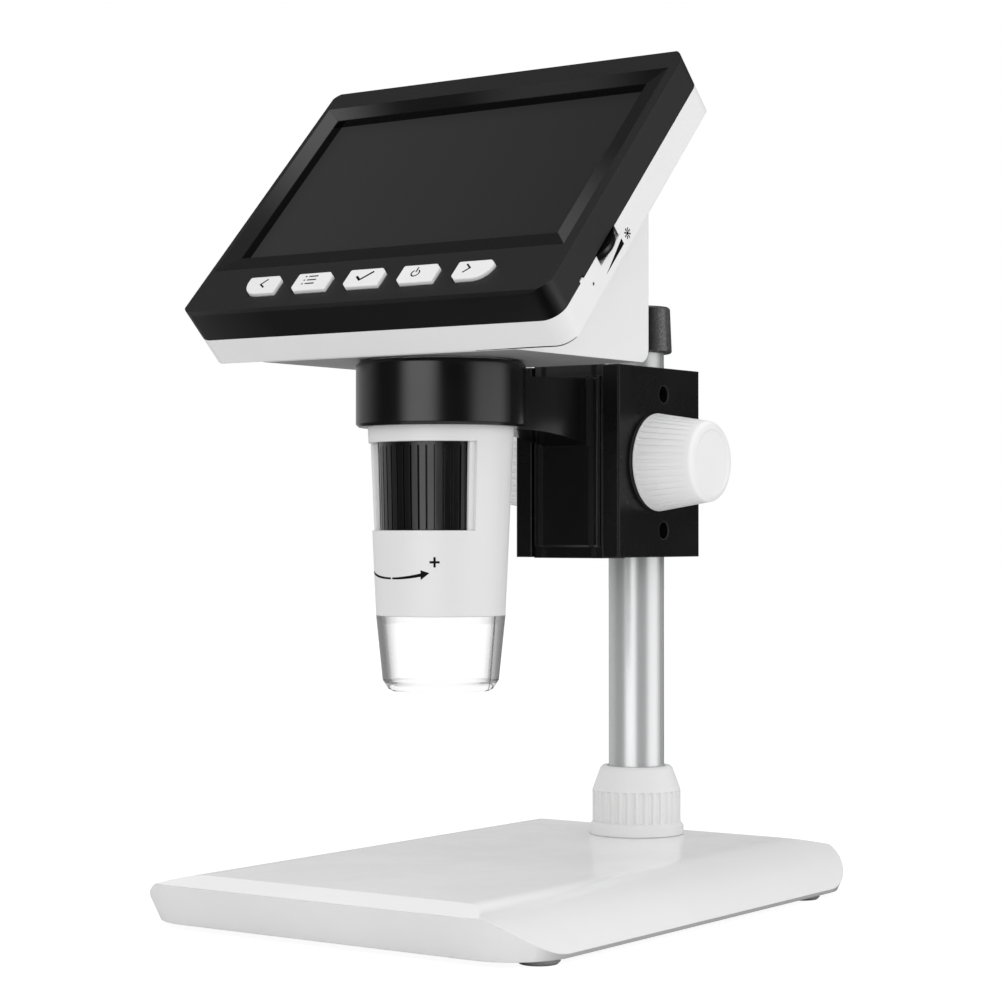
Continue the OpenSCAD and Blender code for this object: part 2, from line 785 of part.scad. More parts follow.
module rear_shell() {
    color("whitesmoke") difference() {
        union() {
            difference() {
                union() {
                    on_screen() slab(slab_back, seam, 0, slab_edge);
                    intersection() {
                        along_x(wedge_w) wedge_outline(0);
                        on_screen() translate([-far, -head_down + 0.6, -far])
                            cube([2 * far, head_up + head_down - 1.6, far + slab_back + 2]);
                    }
                }
                shell_room();
            }
            on_screen() {
                shell_screw_places() translate([0, 0, slab_back + 1]) cylinder(d = 4.4, h = slab_t - 1);
                translate([head_x - nub_deep, nub_v, seam - 1]) cube([nub_deep, nub_w, nub_h + 1]);
                for (x = [[main_left + 4.5, 4], [wedge_w / 2 - head_wall + 0.2, 2.4]])
                    translate([x[0], 2 - main_v, slab_back + 1])
                        cube([x[1], 2 * main_v - 4, main_z - slab_back - main_t]);
            }
            difference() {
                for (x = [-21, 19]) translate([x, cell_y - 7, wedge_z + 1])
                    cube([2, 14, cell_z - wedge_z - 3]);
                translate([0, cell_y, cell_z]) rotate([0, 90, 0])
                    cylinder(r = cell_r + fit, h = far, center = true);
            }
        }
        translate([0, barrel_y, wedge_z - 1]) cylinder(r = barrel_r + 0.15, h = 5);
        barrel_screw_places() translate([0, 0, wedge_z + 0.5]) cylinder(d = 1.9, h = 5);
        on_screen() {
            translate([wheel_x, wheel_v, wheel_z - 0.4]) cylinder(r = wheel_r + 0.4, h = 4);
            translate([head_x - 4, reset_v, reset_z]) rotate([0, 90, 0]) cylinder(d = reset_d, h = 8);
            translate([-head_x - 1, usb_v - 4.7, main_z + 0.9]) cube([4, 9.4, 3.6]);
            translate([-head_x - 1, card_v - 6.2, main_z + 1.5]) cube([4, 12.4, 1.6]);
            shell_screw_places() {
                translate([0, 0, slab_back - 1]) cylinder(d = 2.2, h = far);
                translate([0, 0, slab_back - 1]) cylinder(d = 4, h = 1.9);
            }
        }
    }
}

module key_board() {
    color("darkgreen") on_screen() translate([-board_x, button_v - board_h / 2, board_top - board_t])
        cube([2 * board_x, board_h, board_t]);
}

module key_switches() {
    color("silver") on_screen() for (i = [-2 : 2])
        translate([button_x(i), button_v, board_top]) {
            translate([-2.5, -2.5, 0]) cube([5, 5, 1.5]);
            cylinder(d = 2.4, h = 2.1);
        }
}

// Thumb wheel, its disc along the screen and its rim rounded off towards the back
module brightness_wheel() {
    color([0.08, 0.08, 0.08]) on_screen() translate([wheel_x, wheel_v, wheel_z]) rotate_extrude()
        polygon([
            [0, -1], [wheel_pin_r, -1], [wheel_pin_r, 0], [wheel_r - 1, 0], [wheel_r - 0.4, 0.4],
            [wheel_r - 0.1, 0.9], [wheel_r, 1.5], [wheel_r, wheel_t], [0, wheel_t]
        ]);
}

module brightness_pot() {
    color("dimgray") on_screen() difference() {
        translate([wheel_x - 4, wheel_v - 4, wheel_z - 3]) cube([8, 8, 2.6]);
        translate([wheel_x, wheel_v, wheel_z - 1.3]) cylinder(r = wheel_pin_r + fit, h = 3);
    }
}

module reset_switch() {
    color("silver") on_screen() translate([head_x - 5.6, reset_v, reset_z]) {
        translate([-2, -2.5, -1.6]) cube([2, 5, 3.2]);
        rotate([0, 90, 0]) cylinder(d = 1.6, h = 1);
    }
}

module main_board() {
    color("darkgreen") on_screen() difference() {
        translate([main_left, -main_v, main_z - 0.4]) cube([main_right - main_left, 2 * main_v, main_t]);
        translate([main_left + 20.5, 6 - main_v, main_z - 2]) cube([4, 8, 5]);
    }
}

module usb_socket() {
    color("silver") on_screen() translate([-head_x + 0.6, usb_v - 4.5, main_z + 1.02]) difference() {
        cube([7.4, 9, 3.2]);
        translate([-1, 0.4, 0.4]) cube([6.4, 8.2, 2.4]);
    }
}

module card_socket() {
    color("silver") on_screen() translate([-head_x + 2.4, card_v - 7.2, main_z + 1.02]) difference() {
        cube([14.4, 14.4, 2]);
        translate([-1, 1.2, 0.5]) cube([13, 12, 1]);
    }
}

module battery() {
    color("steelblue") translate([0, cell_y, cell_z]) rotate([0, 90, 0]) rotate_extrude()
        polygon([
            [0, -cell_half - cell_pin], [cell_pin_r, -cell_half - cell_pin], [cell_pin_r, -cell_half],
            [cell_r, -cell_half], [cell_r, cell_half], [0, cell_half]
        ]);
}

module shell_screws() {
    color("silver") on_screen() shell_screw_places() translate([0, 0, slab_back + 0.88])
        mirror([0, 0, 1]) screw(1.8, 11, 3.6, 0.85);
}

// Barrel

// Pie slice towards the front, with half angle a
module front_slice(a) {
    polygon([[0, 0], for (i = [-2 : 2]) far / 4 * [sin(i * a / 2), -cos(i * a / 2)]]);
}

// Cone of the barrel's outside, pulled in by inset
module barrel_cone(z0, z1, inset) {
    translate([0, 0, z0]) cylinder(
        r1 = tip_r + (z0 - barrel_tip_z) * tip_taper - inset,
        r2 = tip_r + (z1 - barrel_tip_z) * tip_taper - inset, h = z1 - z0
    );
}

module barrel_screw_places() {
    for (a = [0, 90, 180]) translate([0, barrel_y, 0]) rotate([0, 0, a])
        translate([barrel_r + 4.4, 0, 0]) children();
}

module barrel() {
    flange_z = wedge_z + head_wall + 0.05;
    color("white") difference() {
        union() {
            translate([0, barrel_y, 0]) {
                barrel_cone(barrel_tip_z, ring_z, 0);
                translate([0, 0, ring_z]) cylinder(r = barrel_r, h = barrel_top - ring_z);
                translate([0, 0, flange_z]) cylinder(r = barrel_r + 1.6, h = barrel_top - flange_z);
            }
            for (a = [0, 90, 180]) translate([0, barrel_y, flange_z]) rotate([0, 0, a]) {
                translate([0, -3.2, 0]) cube([barrel_r + 4.4, 6.4, barrel_top - flange_z]);
                translate([barrel_r + 4.4, 0, 0]) cylinder(r = 3.2, h = barrel_top - flange_z);
            }
        }
        barrel_screw_places() translate([0, 0, wedge_z]) cylinder(d = 2, h = 10);
        translate([0, barrel_y, 0]) {
            translate([0, 0, barrel_tip_z - 1]) cylinder(r = led_bore_r, h = 6.3);
            cylinder(r = guide_r, h = far);
            for (a = [0, 180]) rotate([0, 0, a]) translate([0, -1.7, 82])
                cube([14.2, 3.4, chamber_z - 82 + 1]);
            translate([0, 0, chamber_z])
                cylinder(r1 = focus_low_r + 0.27, r2 = focus_r + 0.4, h = 25);
            translate([0, 0, chamber_z + 24.99]) cylinder(r = focus_r + 0.4, h = far);
            translate([0, 0, window_z]) linear_extrude(window_top - window_z)
                front_slice(window_half);
            difference() {
                translate([0, 0, window_z]) linear_extrude(window_top - window_z)
                    front_slice(window_half + 5);
                barrel_cone(window_z - 1, window_top + 1, 0.95);
            }
        }
    }
}

module barrel_screws() {
    color("silver") barrel_screw_places() translate([0, 0, barrel_top + 0.02]) screw(1.8, 3, 3.6, 1.2);
}

module focus_ring() {
    z0 = chamber_z + 0.4;
    h = 23;
    groove_h = window_top - 0.9 - z0 - 0.8;
    lean = atan((focus_r - focus_low_r) / h);
    color([0.08, 0.08, 0.08]) translate([0, barrel_y, z0]) difference() {
        cylinder(r1 = focus_low_r, r2 = focus_r, h = h);
        translate([0, 0, -1]) cylinder(r = 12.2, h = h + 2);
        for (i = [0 : focus_grooves - 1]) rotate([0, 0, (i + 0.5) * 360 / focus_grooves])
            translate([focus_low_r, 0, 0]) rotate([0, lean, 0])
                translate([-0.9, -0.25, 0.8]) cube([2, 0.5, groove_h]);
    }
}

// Tube that the focus ring moves along the barrel, with two guide tabs
module lens_carrier() {
    color([0.1, 0.1, 0.1]) translate([0, barrel_y, carrier_z]) difference() {
        union() {
            cylinder(r = guide_r - 0.6, h = carrier_h);
            for (a = [0, 180]) rotate([0, 0, a]) translate([10, -1.4, 0]) cube([3.8, 2.8, 2.5]);
        }
        translate([0, 0, -1]) cylinder(r = lens_r + fit, h = lens_zs[0] + lens_ts[0] + 1);
        cylinder(r = lens_r - 3, h = carrier_h);
        translate([0, 0, lens_zs[1]]) cylinder(r = lens_r + fit, h = carrier_h);
    }
}

module lenses() {
    color("lightblue") translate([0, barrel_y, carrier_z]) {
        for (i = [0, 1]) translate([0, 0, lens_zs[i] + 0.02]) cylinder(r = lens_r, h = lens_ts[i] - 0.04);
    }
}

// Sleeve above the focus ring that carries the sensor board
module sensor_holder() {
    color([0.15, 0.15, 0.15]) translate([0, barrel_y, sensor_z]) difference() {
        cylinder(r = focus_r + 0.35, h = sensor_h);
        translate([0, 0, -1]) cylinder(r = sensor_r - 2.5, h = sensor_h + 2);
        translate([0, 0, sensor_seat]) cylinder(r = sensor_r + 0.1, h = sensor_h);
    }
}

module sensor_board() {
    color("darkgreen") translate([0, barrel_y, sensor_z + sensor_seat + 0.02]) {
        cylinder(r = sensor_r, h = 1.4);
        translate([-chip_w / 2, -chip_w / 2, -1]) cube([chip_w, chip_w, 1.01]);
    }
}

module led_board() {
    color("whitesmoke") translate([0, barrel_y, barrel_tip_z + 3.2]) difference() {
        cylinder(r = led_bore_r - 0.1, h = 1.2);
        translate([0, 0, -1]) cylinder(r = 7, h = 4);
    }
}

module leds() {
    color("lightyellow") translate([0, barrel_y, barrel_tip_z + 2.4]) for (i = [0 : 7])
        rotate([0, 0, i * 45]) translate([9.6, -1.4, 0]) cube([2.2, 2.8, 0.8]);
}

module clear_hood() {
    r = hood_d / 2;
    color([0.85, 0.9, 0.92, 0.5]) translate([0, barrel_y, 0]) rotate_extrude() polygon([
        [led_bore_r - 0.1, barrel_tip_z + 3], [led_bore_r - 0.1, barrel_tip_z - 0.05],
        [tip_r, barrel_tip_z - 0.05], [r, hood_z + 2.7], [r - 1.4, hood_z + 0.5],
        [r - 2.4, hood_z], [r - 2.8, hood_z],
        [led_bore_r - 1.6, barrel_tip_z - 2],
        [led_bore_r - 1.6, barrel_tip_z + 3]
    ]);
}

base_shell();
base_plate();
plate_screws();
rubber_feet();
pole();
pole_cap();
collar_nut();
collet();
focus_block();
clamp_screws();
knob_shaft();
pinion();
knob_right();
knob_left();
holder();
rack();
rack_screws();
front_bezel();
screen_glass();
lcd_panel();
rear_shell();
button_back();
button_menu();
button_ok();
button_power();
button_next();
key_board();
key_switches();
brightness_wheel();
brightness_pot();
reset_switch();
main_board();
usb_socket();
card_socket();
battery();
shell_screws();
barrel();
barrel_screws();
focus_ring();
lens_carrier();
lenses();
sensor_holder();
sensor_board();
led_board();
leds();
clear_hood();
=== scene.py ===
"""Desk digital microscope: finishes, key caps and printed marks around the fixed solids."""

import math

import bmesh
import bpy
from mathutils import Matrix, Vector


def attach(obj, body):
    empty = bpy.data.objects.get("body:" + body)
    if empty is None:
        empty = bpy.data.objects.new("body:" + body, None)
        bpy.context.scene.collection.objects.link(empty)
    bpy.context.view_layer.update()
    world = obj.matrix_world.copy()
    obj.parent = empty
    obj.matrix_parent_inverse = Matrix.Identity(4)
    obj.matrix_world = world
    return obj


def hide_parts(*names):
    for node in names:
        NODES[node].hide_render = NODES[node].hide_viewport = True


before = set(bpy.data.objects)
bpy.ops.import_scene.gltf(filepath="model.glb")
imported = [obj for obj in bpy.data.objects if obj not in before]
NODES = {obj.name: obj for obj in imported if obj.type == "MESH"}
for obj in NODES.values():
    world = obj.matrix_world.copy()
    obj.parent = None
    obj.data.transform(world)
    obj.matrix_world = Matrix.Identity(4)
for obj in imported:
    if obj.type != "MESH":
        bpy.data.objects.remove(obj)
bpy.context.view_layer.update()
MM = 0.001

# Screen head: its frame has x across the face, y up the face and z out of the face
SCREEN_TILT = math.radians(46)
SCREEN_MIDDLE = Vector((0, -32.1, 187.9))
FACE_UP = Vector((0, math.cos(SCREEN_TILT), math.sin(SCREEN_TILT)))
HEAD_SIDE = 55.6
HEAD_DOWN = 50.0
HEAD_CORNER = 5.0
SLAB_BACK = -17.2
SLAB_EDGE = 0.35

# Polished rim round the window, reach of the lower bevel's painted shade and of the screen's painted glow
RIM_HALF_W = 53.5
RIM_HALF_H = 33.05
RIM_MIDDLE = -0.65
BEVEL_HALF_W = 55.0
GLOW_HALF_W = 50.0
SCREEN_GLOW = (0.028, 0.017)

# Keys, in the frame of the face; the rim goes inwards and down from the top
KEY_PITCH = 16.25
KEY_SHIFT = -0.25
KEY_V = -41.6
KEY_W = 11.2
KEY_H = 6.4
KEY_OUT = 0.9
KEY_SKIRT = -2.6
KEY_CUT = 1.4
KEY_CUT_SHRINK = 0.6
KEY_CORNER = 0.5
KEY_CORNER_SHRINK = 0.4
KEY_CORNER_STEPS = 4
KEY_SWEEP = 4.7
KEY_SWEEP_STEPS = 10
KEY_TRIMS = (0.6, 0.4)
KEY_RIM = ((0.0, 0.35), (0.03, 0.2), (0.1, 0.09), (0.2, 0.025), (0.34, 0.0))
KEY_NAMES = ("back", "menu", "ok", "power", "next")
KEY_KINDS = ("first", "middle", "middle", "middle", "last")

# Barrel and the clear hood below it
BARREL_Y = -31.0
BARREL_TIP_Z = 76.7
BARREL_TIP_R = 16.15
BARREL_TOP_Z = 123.5
BARREL_TOP_R = 18.25
BARREL_TAPER = (BARREL_TOP_R - BARREL_TIP_R) / (BARREL_TOP_Z - BARREL_TIP_Z)
HOOD_R = 14.5
HOOD_EDGE_Z = 60.6
HOOD_SKIN = 0.4
# Direction of the hood's side whose wall gets painted shade
HOOD_SHADED_SIDE = (0.819, 0.574, 0)

# Inner corners of the holder's arm
ARM_ROOT_X = 8.1
ARM_ROOT_REACH = 0.8
ARM_ROOT_Y = 23.4

# The ink's black layer is also laid as a painted shadow strip behind the slab
# Ink: its height above and its depth below the surface, the widths of its strokes, how far they may
# reach at a turn, and the distance at which their points join
INK_RISE = 0.03
INK_SINK = 0.05
CHEVRON_STROKE = 0.45
LIST_STROKE = 0.4
CHECK_STROKE = 0.6
POWER_STROKE = 0.35
SUN_STROKE = 0.36
LEAST_MITRE = 0.3
INK_WELD = 0.002

# Camera, matched to the photograph's view
CAMERA_PLACE = (0.37532, -0.53367, 0.09756)
CAMERA_TURN = (math.radians(90.705), 0, math.radians(35.387))
CAMERA_LENS = 90.32
CAMERA_SENSOR = 36
CAMERA_REACH = 20

# Studio: white panels that the gloss of the object sees, each with its azimuth, for the high ones
# its elevation, its inner and outer half angle and its strength; the low ones stay below eye level
WALL_PANELS = ((8.0, 8.0, 31.0, 2.5), (108.0, 10.0, 36.0, 1.1), (248.0, 20.0, 62.0, 0.5))
LOW_PANELS = ((104.0, 14.0, 38.0, 1.05),)
HIGH_PANELS = (
    (-73.0, 45.5, 2.5, 5.1, 0.85), (-93.0, 67.5, 2.4, 5.4, 0.58), (-80.0, 63.5, 3.0, 9.0, 0.1),
    (-68.0, 53.4, 0.5, 2.2, 0.2), (-109.0, 39.0, 1.0, 4.5, 0.25), (220.0, 27.0, 8.0, 16.0, 0.5))
ROOM_GLINT = 0.055
ROOM_LIGHT = 1.03
FLOOR_REACH = 3.0
FLOOR_BOUNCE = 0.75
FLOOR_GLOW = 1.18
FLOOR_WHITE_SHARE = 0.8

# Soft lights, each with its place, size and power
LIGHT_AIM = (0, 0, 0.11)
SOFTBOXES = (
    ("front_softbox", (0.6, -1.04, 0.22), 0.9, 1.6),
    ("right_softbox", (1.3, 0.0, 0.35), 0.8, 1.25))


# Shader helpers

def grey(value):
    return (value, value, value, 1.0)


def add(tree, kind, inputs=None, **settings):
    """A new node with its settings; an input takes a plain value or a link from another node's output."""
    node = tree.nodes.new(kind)
    for key, value in settings.items():
        setattr(node, key, value)
    for key, value in (inputs or {}).items():
        if isinstance(value, bpy.types.NodeSocket):
            tree.links.new(value, node.inputs[key])
        else:
            node.inputs[key].default_value = value
    return node


def own_place(tree):
    """The object's own coordinates."""
    return add(tree, "ShaderNodeTexCoord").outputs["Object"]


def normal(tree, kind="Normal"):
    """The surface's direction, smoothed, or that of its flat faces as True Normal."""
    return add(tree, "ShaderNodeNewGeometry").outputs[kind]


def split(tree, vector):
    """The X, Y and Z of a vector."""
    return add(tree, "ShaderNodeSeparateXYZ", {0: vector}).outputs


def maths(tree, operation, *values):
    """The result of a calculation with numbers or sockets."""
    return add(tree, "ShaderNodeMath", dict(enumerate(values)), operation=operation).outputs[0]


def vectors(tree, operation, *values):
    """The result of a calculation with vectors, a number for a dot product or a length."""
    node = add(tree, "ShaderNodeVectorMath", dict(enumerate(values)), operation=operation)
    return node.outputs["Value" if operation in ("DOT_PRODUCT", "LENGTH") else "Vector"]


def scaled(tree, colour, amount):
    """A colour made darker or lighter by a share."""
    node = add(tree, "ShaderNodeVectorMath", {0: colour, "Scale": amount}, operation="SCALE")
    return node.outputs["Vector"]


def remap(tree, value, start, end, low=0.0, high=1.0, **settings):
    """A value moved from one range to another and held at its ends."""
    ends = {"From Min": start, "From Max": end, "To Min": low, "To Max": high}
    return add(tree, "ShaderNodeMapRange", {"Value": value, **ends}, **settings).outputs["Result"]


def noise(tree, place, scale, detail, roughness):
    """An uneven value between 0 and 1 at a place."""
    inputs = {"Vector": place, "Scale": scale, "Detail": detail, "Roughness": roughness}
    return add(tree, "ShaderNodeTexNoise", inputs).outputs["Fac"]


def mixed(tree, kind, mask, first, second, **settings):
    """What the mask moves from the first to the second, a colour as RGBA or a value as FLOAT."""
    inputs = {"Factor": mask, "A": first, "B": second}
    return add(tree, "ShaderNodeMix", inputs, data_type=kind, **settings).outputs["Result"]


def ramp(tree, value, *stops):
    """A colour that follows a value through its stops, each a position and a colour or a grey tone."""
    node = add(tree, "ShaderNodeValToRGB", {"Fac": value})
    elements = node.color_ramp.elements
    colours = [(place, grey(tone) if isinstance(tone, float) else tone) for place, tone in stops]
    for element, (place, colour) in zip(elements, (colours[0], colours[-1])):
        element.position = place
        element.color = colour
    for place, colour in colours[1:-1]:
        elements.new(place).color = colour
    return node.outputs["Color"]


def shader_group(name, inputs, build):
    """A shader group from its named inputs and a function that builds its named outputs."""
    kinds = {"float": "NodeSocketFloat", "colour": "NodeSocketColor", "vector": "NodeSocketVector"}
    group = bpy.data.node_groups.new(name, "ShaderNodeTree")
    for label, value in inputs:
        kind = "colour" if isinstance(value, tuple) else "float"
        socket = group.interface.new_socket(label, in_out="INPUT", socket_type=kinds[kind])
        socket.default_value = value
    given = add(group, "NodeGroupInput").outputs
    built = build(group, given)
    for label, kind, value in built:
        group.interface.new_socket(label, in_out="OUTPUT", socket_type=kinds[kind])
    result = add(group, "NodeGroupOutput").inputs
    for label, kind, value in built:
        group.links.new(value, result[label])
    return group


def mask_group(name, inputs, build):
    """A shader group with one output, a mask."""
    return shader_group(name, inputs, lambda tree, given: (("Mask", "float", build(tree, given)),))


# Shared effects

def moulded_skin(tree, given):
    """Moulded plastic: faint tone drift, fine sparked grain, uneven gloss, and softened edges whose colour
    carries a painted highlight.
    """
    place = own_place(tree)
    drift = noise(tree, place, 22.0, 3.0, 0.55)
    grain = noise(tree, place, given["Grain scale"], 2.0, 0.6)
    smear = noise(tree, place, 55.0, 4.0, 0.6)

    # Tone drift darkens or lightens the colour by a few hundredths
    darkest = maths(tree, "SUBTRACT", 1.0, given["Tone drift"])
    lightest = maths(tree, "ADD", 1.0, given["Tone drift"])
    toned = scaled(tree, given["Colour"], remap(tree, drift, 0.3, 0.7, darkest, lightest))

    # Edges: the rounded normal leaves the smooth one only close to an edge, where the edge colour is mixed
    # in as a painted highlight
    rounded = add(tree, "ShaderNodeBevel", {"Radius": given["Edge radius"]}, samples=6).outputs["Normal"]
    near = remap(tree, vectors(tree, "DOT_PRODUCT", rounded, normal(tree)), 0.995, 0.85)
    painted_edge_highlight = maths(tree, "MULTIPLY", near, given["Edge amount"])

    bump = {"Distance": 0.0001, "Height": grain, "Strength": given["Grain depth"], "Normal": rounded}
    return (
        ("Colour", "colour", mixed(tree, "RGBA", painted_edge_highlight, toned, given["Edge highlight colour"])),
        ("Roughness", "float", remap(tree, smear, 0.35, 0.65, given["Gloss low"], given["Gloss high"])),
        ("Normal", "vector", add(tree, "ShaderNodeBump", bump).outputs["Normal"]))


def drawn_metal(tree, given):
    """Metal with fine lines along Z, as drawing or turning leaves them."""
    stretched = vectors(tree, "MULTIPLY", own_place(tree), (1, 1, 0.01))
    lines = noise(tree, stretched, given["Line scale"], 3.0, 0.7)
    bands = noise(tree, stretched, 260.0, 2.0, 0.5)
    darkest = maths(tree, "SUBTRACT", 1.0, given["Tone drift"])
    bump = {"Distance": 0.0001, "Height": lines, "Strength": given["Line depth"]}
    return (
        ("Colour", "colour", scaled(tree, given["Colour"], remap(tree, bands, 0.3, 0.7, darkest))),
        ("Roughness", "float", remap(tree, lines, 0.3, 0.7, given["Gloss low"], given["Gloss high"])),
        ("Normal", "vector", add(tree, "ShaderNodeBump", bump).outputs["Normal"]))


def window_mask(tree, given):
    """One inside a rectangle of the screen's face, from its half sizes and the height of its middle."""
    place = own_place(tree)
    height = vectors(tree, "DOT_PRODUCT", place, FACE_UP)
    level = maths(tree, "SUBTRACT", height, FACE_UP.dot(SCREEN_MIDDLE * MM))
    across = maths(tree, "COMPARE", split(tree, place)["X"], 0.0, given["Half width"])
    upward = maths(tree, "COMPARE", level, given["Middle"], given["Half height"])
    return maths(tree, "MULTIPLY", across, upward)


def under_mask(tree, given):
    """One on faces that look down by more than a given amount."""
    looking = split(tree, normal(tree, "True Normal"))
    return remap(tree, looking["Z"], given["Start"], given["Full"])


def lower_mask(tree, given):
    """One on faces that look down along the screen's face."""
    upward = vectors(tree, "DOT_PRODUCT", normal(tree, "True Normal"), FACE_UP)
    return remap(tree, upward, -0.35, -0.75)


def wall_mask(axis, start, full):
    """One on faces that look along an axis, either way, from a start to a full steepness."""
    def build(tree, given):
        steep = maths(tree, "ABSOLUTE", split(tree, normal(tree))[axis])
        return remap(tree, steep, start, full)

    return build


def root_mask(tree, given):
    """One in the inner corners where the holder's arm grows out of its panel."""
    parts = split(tree, own_place(tree))
    sideways = maths(tree, "ABSOLUTE", parts["X"])
    across = maths(tree, "COMPARE", sideways, ARM_ROOT_X * MM, ARM_ROOT_REACH * MM)
    back = maths(tree, "GREATER_THAN", parts["Y"], ARM_ROOT_Y * MM)
    return maths(tree, "MULTIPLY", across, back)


def outer_mask(tree, given):
    """One on the outer skin of the hood's cone, which is widest at the barrel."""
    place = own_place(tree)
    offset = vectors(tree, "SUBTRACT", place, (0, BARREL_Y * MM, 0))
    radius = vectors(tree, "LENGTH", vectors(tree, "MULTIPLY", offset, (1, 1, 0)))
    skin = remap(tree, split(tree, place)["Z"], HOOD_EDGE_Z * MM, BARREL_TIP_Z * MM,
                 (HOOD_R - HOOD_SKIN) * MM, (BARREL_TIP_R - HOOD_SKIN) * MM)
    return maths(tree, "GREATER_THAN", radius, skin)


MOULDED_SKIN = shader_group("moulded_skin", [
    ("Colour", grey(0.8)), ("Edge highlight colour", grey(1.0)), ("Edge amount", 0.0), ("Edge radius", 0.0004),
    ("Tone drift", 0.03), ("Grain scale", 3000.0), ("Grain depth", 0.05),
    ("Gloss low", 0.3), ("Gloss high", 0.45)], moulded_skin)
DRAWN_METAL = shader_group("drawn_metal", [
    ("Colour", grey(0.7)), ("Line scale", 1500.0), ("Line depth", 0.05), ("Tone drift", 0.08),
    ("Gloss low", 0.25), ("Gloss high", 0.4)], drawn_metal)
WINDOW_MASK = mask_group(
    "window_mask", [("Half width", 0.05), ("Half height", 0.03), ("Middle", 0.0)], window_mask)
WALL_MASK = mask_group("wall_mask", [], wall_mask("Y", 0.5, 0.75))
END_MASK = mask_group("end_mask", [], wall_mask("X", 0.72, 0.9))
ROOT_MASK = mask_group("root_mask", [], root_mask)
UNDER_MASK = mask_group("under_mask", [("Start", -0.86), ("Full", -0.96)], under_mask)
LOWER_MASK = mask_group("lower_mask", [], lower_mask)
OUTER_MASK = mask_group("outer_mask", [], outer_mask)


def new_material(name, **sockets):
    """A material with one Principled shader, whose constant sockets are set here."""
    material = bpy.data.materials.new(name)
    material.use_nodes = True
    tree = material.node_tree
    shader = tree.nodes["Principled BSDF"]
    for label, value in sockets.items():
        shader.inputs[label.replace("_", " ")].default_value = value
    return material, tree, shader


def finish_from(group, name, values, **sockets):
    """A material whose colour, gloss and grain come from one of the shared groups."""
    material, tree, shader = new_material(name, **sockets)
    skin = add(tree, "ShaderNodeGroup", values, node_tree=group, name="skin")
    for label, socket in (("Colour", "Base Color"), ("Roughness", "Roughness"), ("Normal", "Normal")):
        tree.links.new(skin.outputs[label], shader.inputs[socket])
    return material


def moulded(name, colour, gloss, grain, edge=(0.0, 0.0004), edge_highlight_colour=None, drift=0.02, **sockets):
    """A plastic finish: gloss is its range, grain its scale and depth, edge the amount of its painted edge
    highlight and the radius of its softened edges.
    """
    values = {
        "Colour": colour, "Edge highlight colour": edge_highlight_colour or colour,
        "Edge amount": edge[0], "Edge radius": edge[1], "Tone drift": drift,
        "Grain scale": grain[0], "Grain depth": grain[1],
        "Gloss low": gloss[0], "Gloss high": gloss[1],
    }
    return finish_from(MOULDED_SKIN, name, values, **sockets)


def drawn(name, colour, gloss, lines=(1500.0, 0.05), drift=0.08, **sockets):
    """A metal finish: gloss is its range, lines their scale and depth."""
    values = {
        "Colour": colour, "Line scale": lines[0], "Line depth": lines[1], "Tone drift": drift,
        "Gloss low": gloss[0], "Gloss high": gloss[1],
    }
    return finish_from(DRAWN_METAL, name, values, **sockets)


# Finishes
# An edge colour lighter than the body colour is a painted highlight along the edges
white_shell = moulded("white_shell", grey(0.83), (0.36, 0.46), (2600.0, 0.06), (0.7, 0.0004), grey(0.93),
                      Specular_IOR_Level=0.4)
white_barrel = moulded("white_barrel", grey(0.76), (0.36, 0.46), (2600.0, 0.06), Specular_IOR_Level=0.4)
white_foot = moulded("white_foot", grey(0.85), (0.12, 0.17), (2200.0, 0.02), Specular_IOR_Level=0.5)
white_knob = moulded("white_knob", grey(0.86), (0.4, 0.5), (3000.0, 0.05), (0.0, 0.0003),
                     Specular_IOR_Level=0.4)
white_nut = moulded("white_nut", grey(0.79), (0.4, 0.5), (3000.0, 0.05), (0.0, 0.0003),
                    Specular_IOR_Level=0.4)
white_key = moulded("white_key", grey(0.82), (0.3, 0.4), (4000.0, 0.03), (0.0, 0.0002),
                    Specular_IOR_Level=0.4)
black_bezel = moulded("black_bezel", grey(0.0215), (0.4, 0.5), (4200.0, 0.12), (0.25, 0.0004), grey(0.06),
                      Specular_IOR_Level=0.3, Coat_Roughness=0.05)
black_block = moulded("black_block", grey(0.005), (0.24, 0.32), (3200.0, 0.05), (0.9, 0.0005), grey(0.08),
                      Specular_IOR_Level=0.2)
black_holder = moulded("black_holder", grey(0.0035), (0.18, 0.24), (3200.0, 0.03), (0.3, 0.0004), grey(0.03),
                       Specular_IOR_Level=0.5)
black_ribs = moulded("black_ribs", grey(0.004), (0.2, 0.28), (3600.0, 0.04), (0.2, 0.0001), grey(0.03),
                     Specular_IOR_Level=0.5)
# The screen's emission is painted light, a faint glow on a dark screen that is no lamp
screen_cover = moulded("screen_cover", grey(0.008), (0.28, 0.34), (9000.0, 0.02),
                       Specular_IOR_Level=0.1, Emission_Strength=1.0)
cap_rubber = moulded("cap_rubber", grey(0.05), (0.42, 0.6), (2400.0, 1.0), (0.5, 0.0005), grey(0.16),
                     drift=0.16, Specular_IOR_Level=0.4)
foot_rubber = moulded("foot_rubber", grey(0.26), (0.6, 0.8), (1800.0, 0.3), drift=0.1)
circuit_board = moulded("circuit_board", (0.012, 0.09, 0.035, 1), (0.25, 0.4), (900.0, 0.1), drift=0.2)
lamp_board = moulded("lamp_board", grey(0.8), (0.35, 0.5), (900.0, 0.05), drift=0.03)
lamp_resin = moulded("lamp_resin", (0.85, 0.72, 0.25, 1), (0.1, 0.2), (1200.0, 0.05), drift=0.1)
cell_wrap = moulded("cell_wrap", (0.03, 0.12, 0.32, 1), (0.2, 0.35), (700.0, 0.1), drift=0.1)
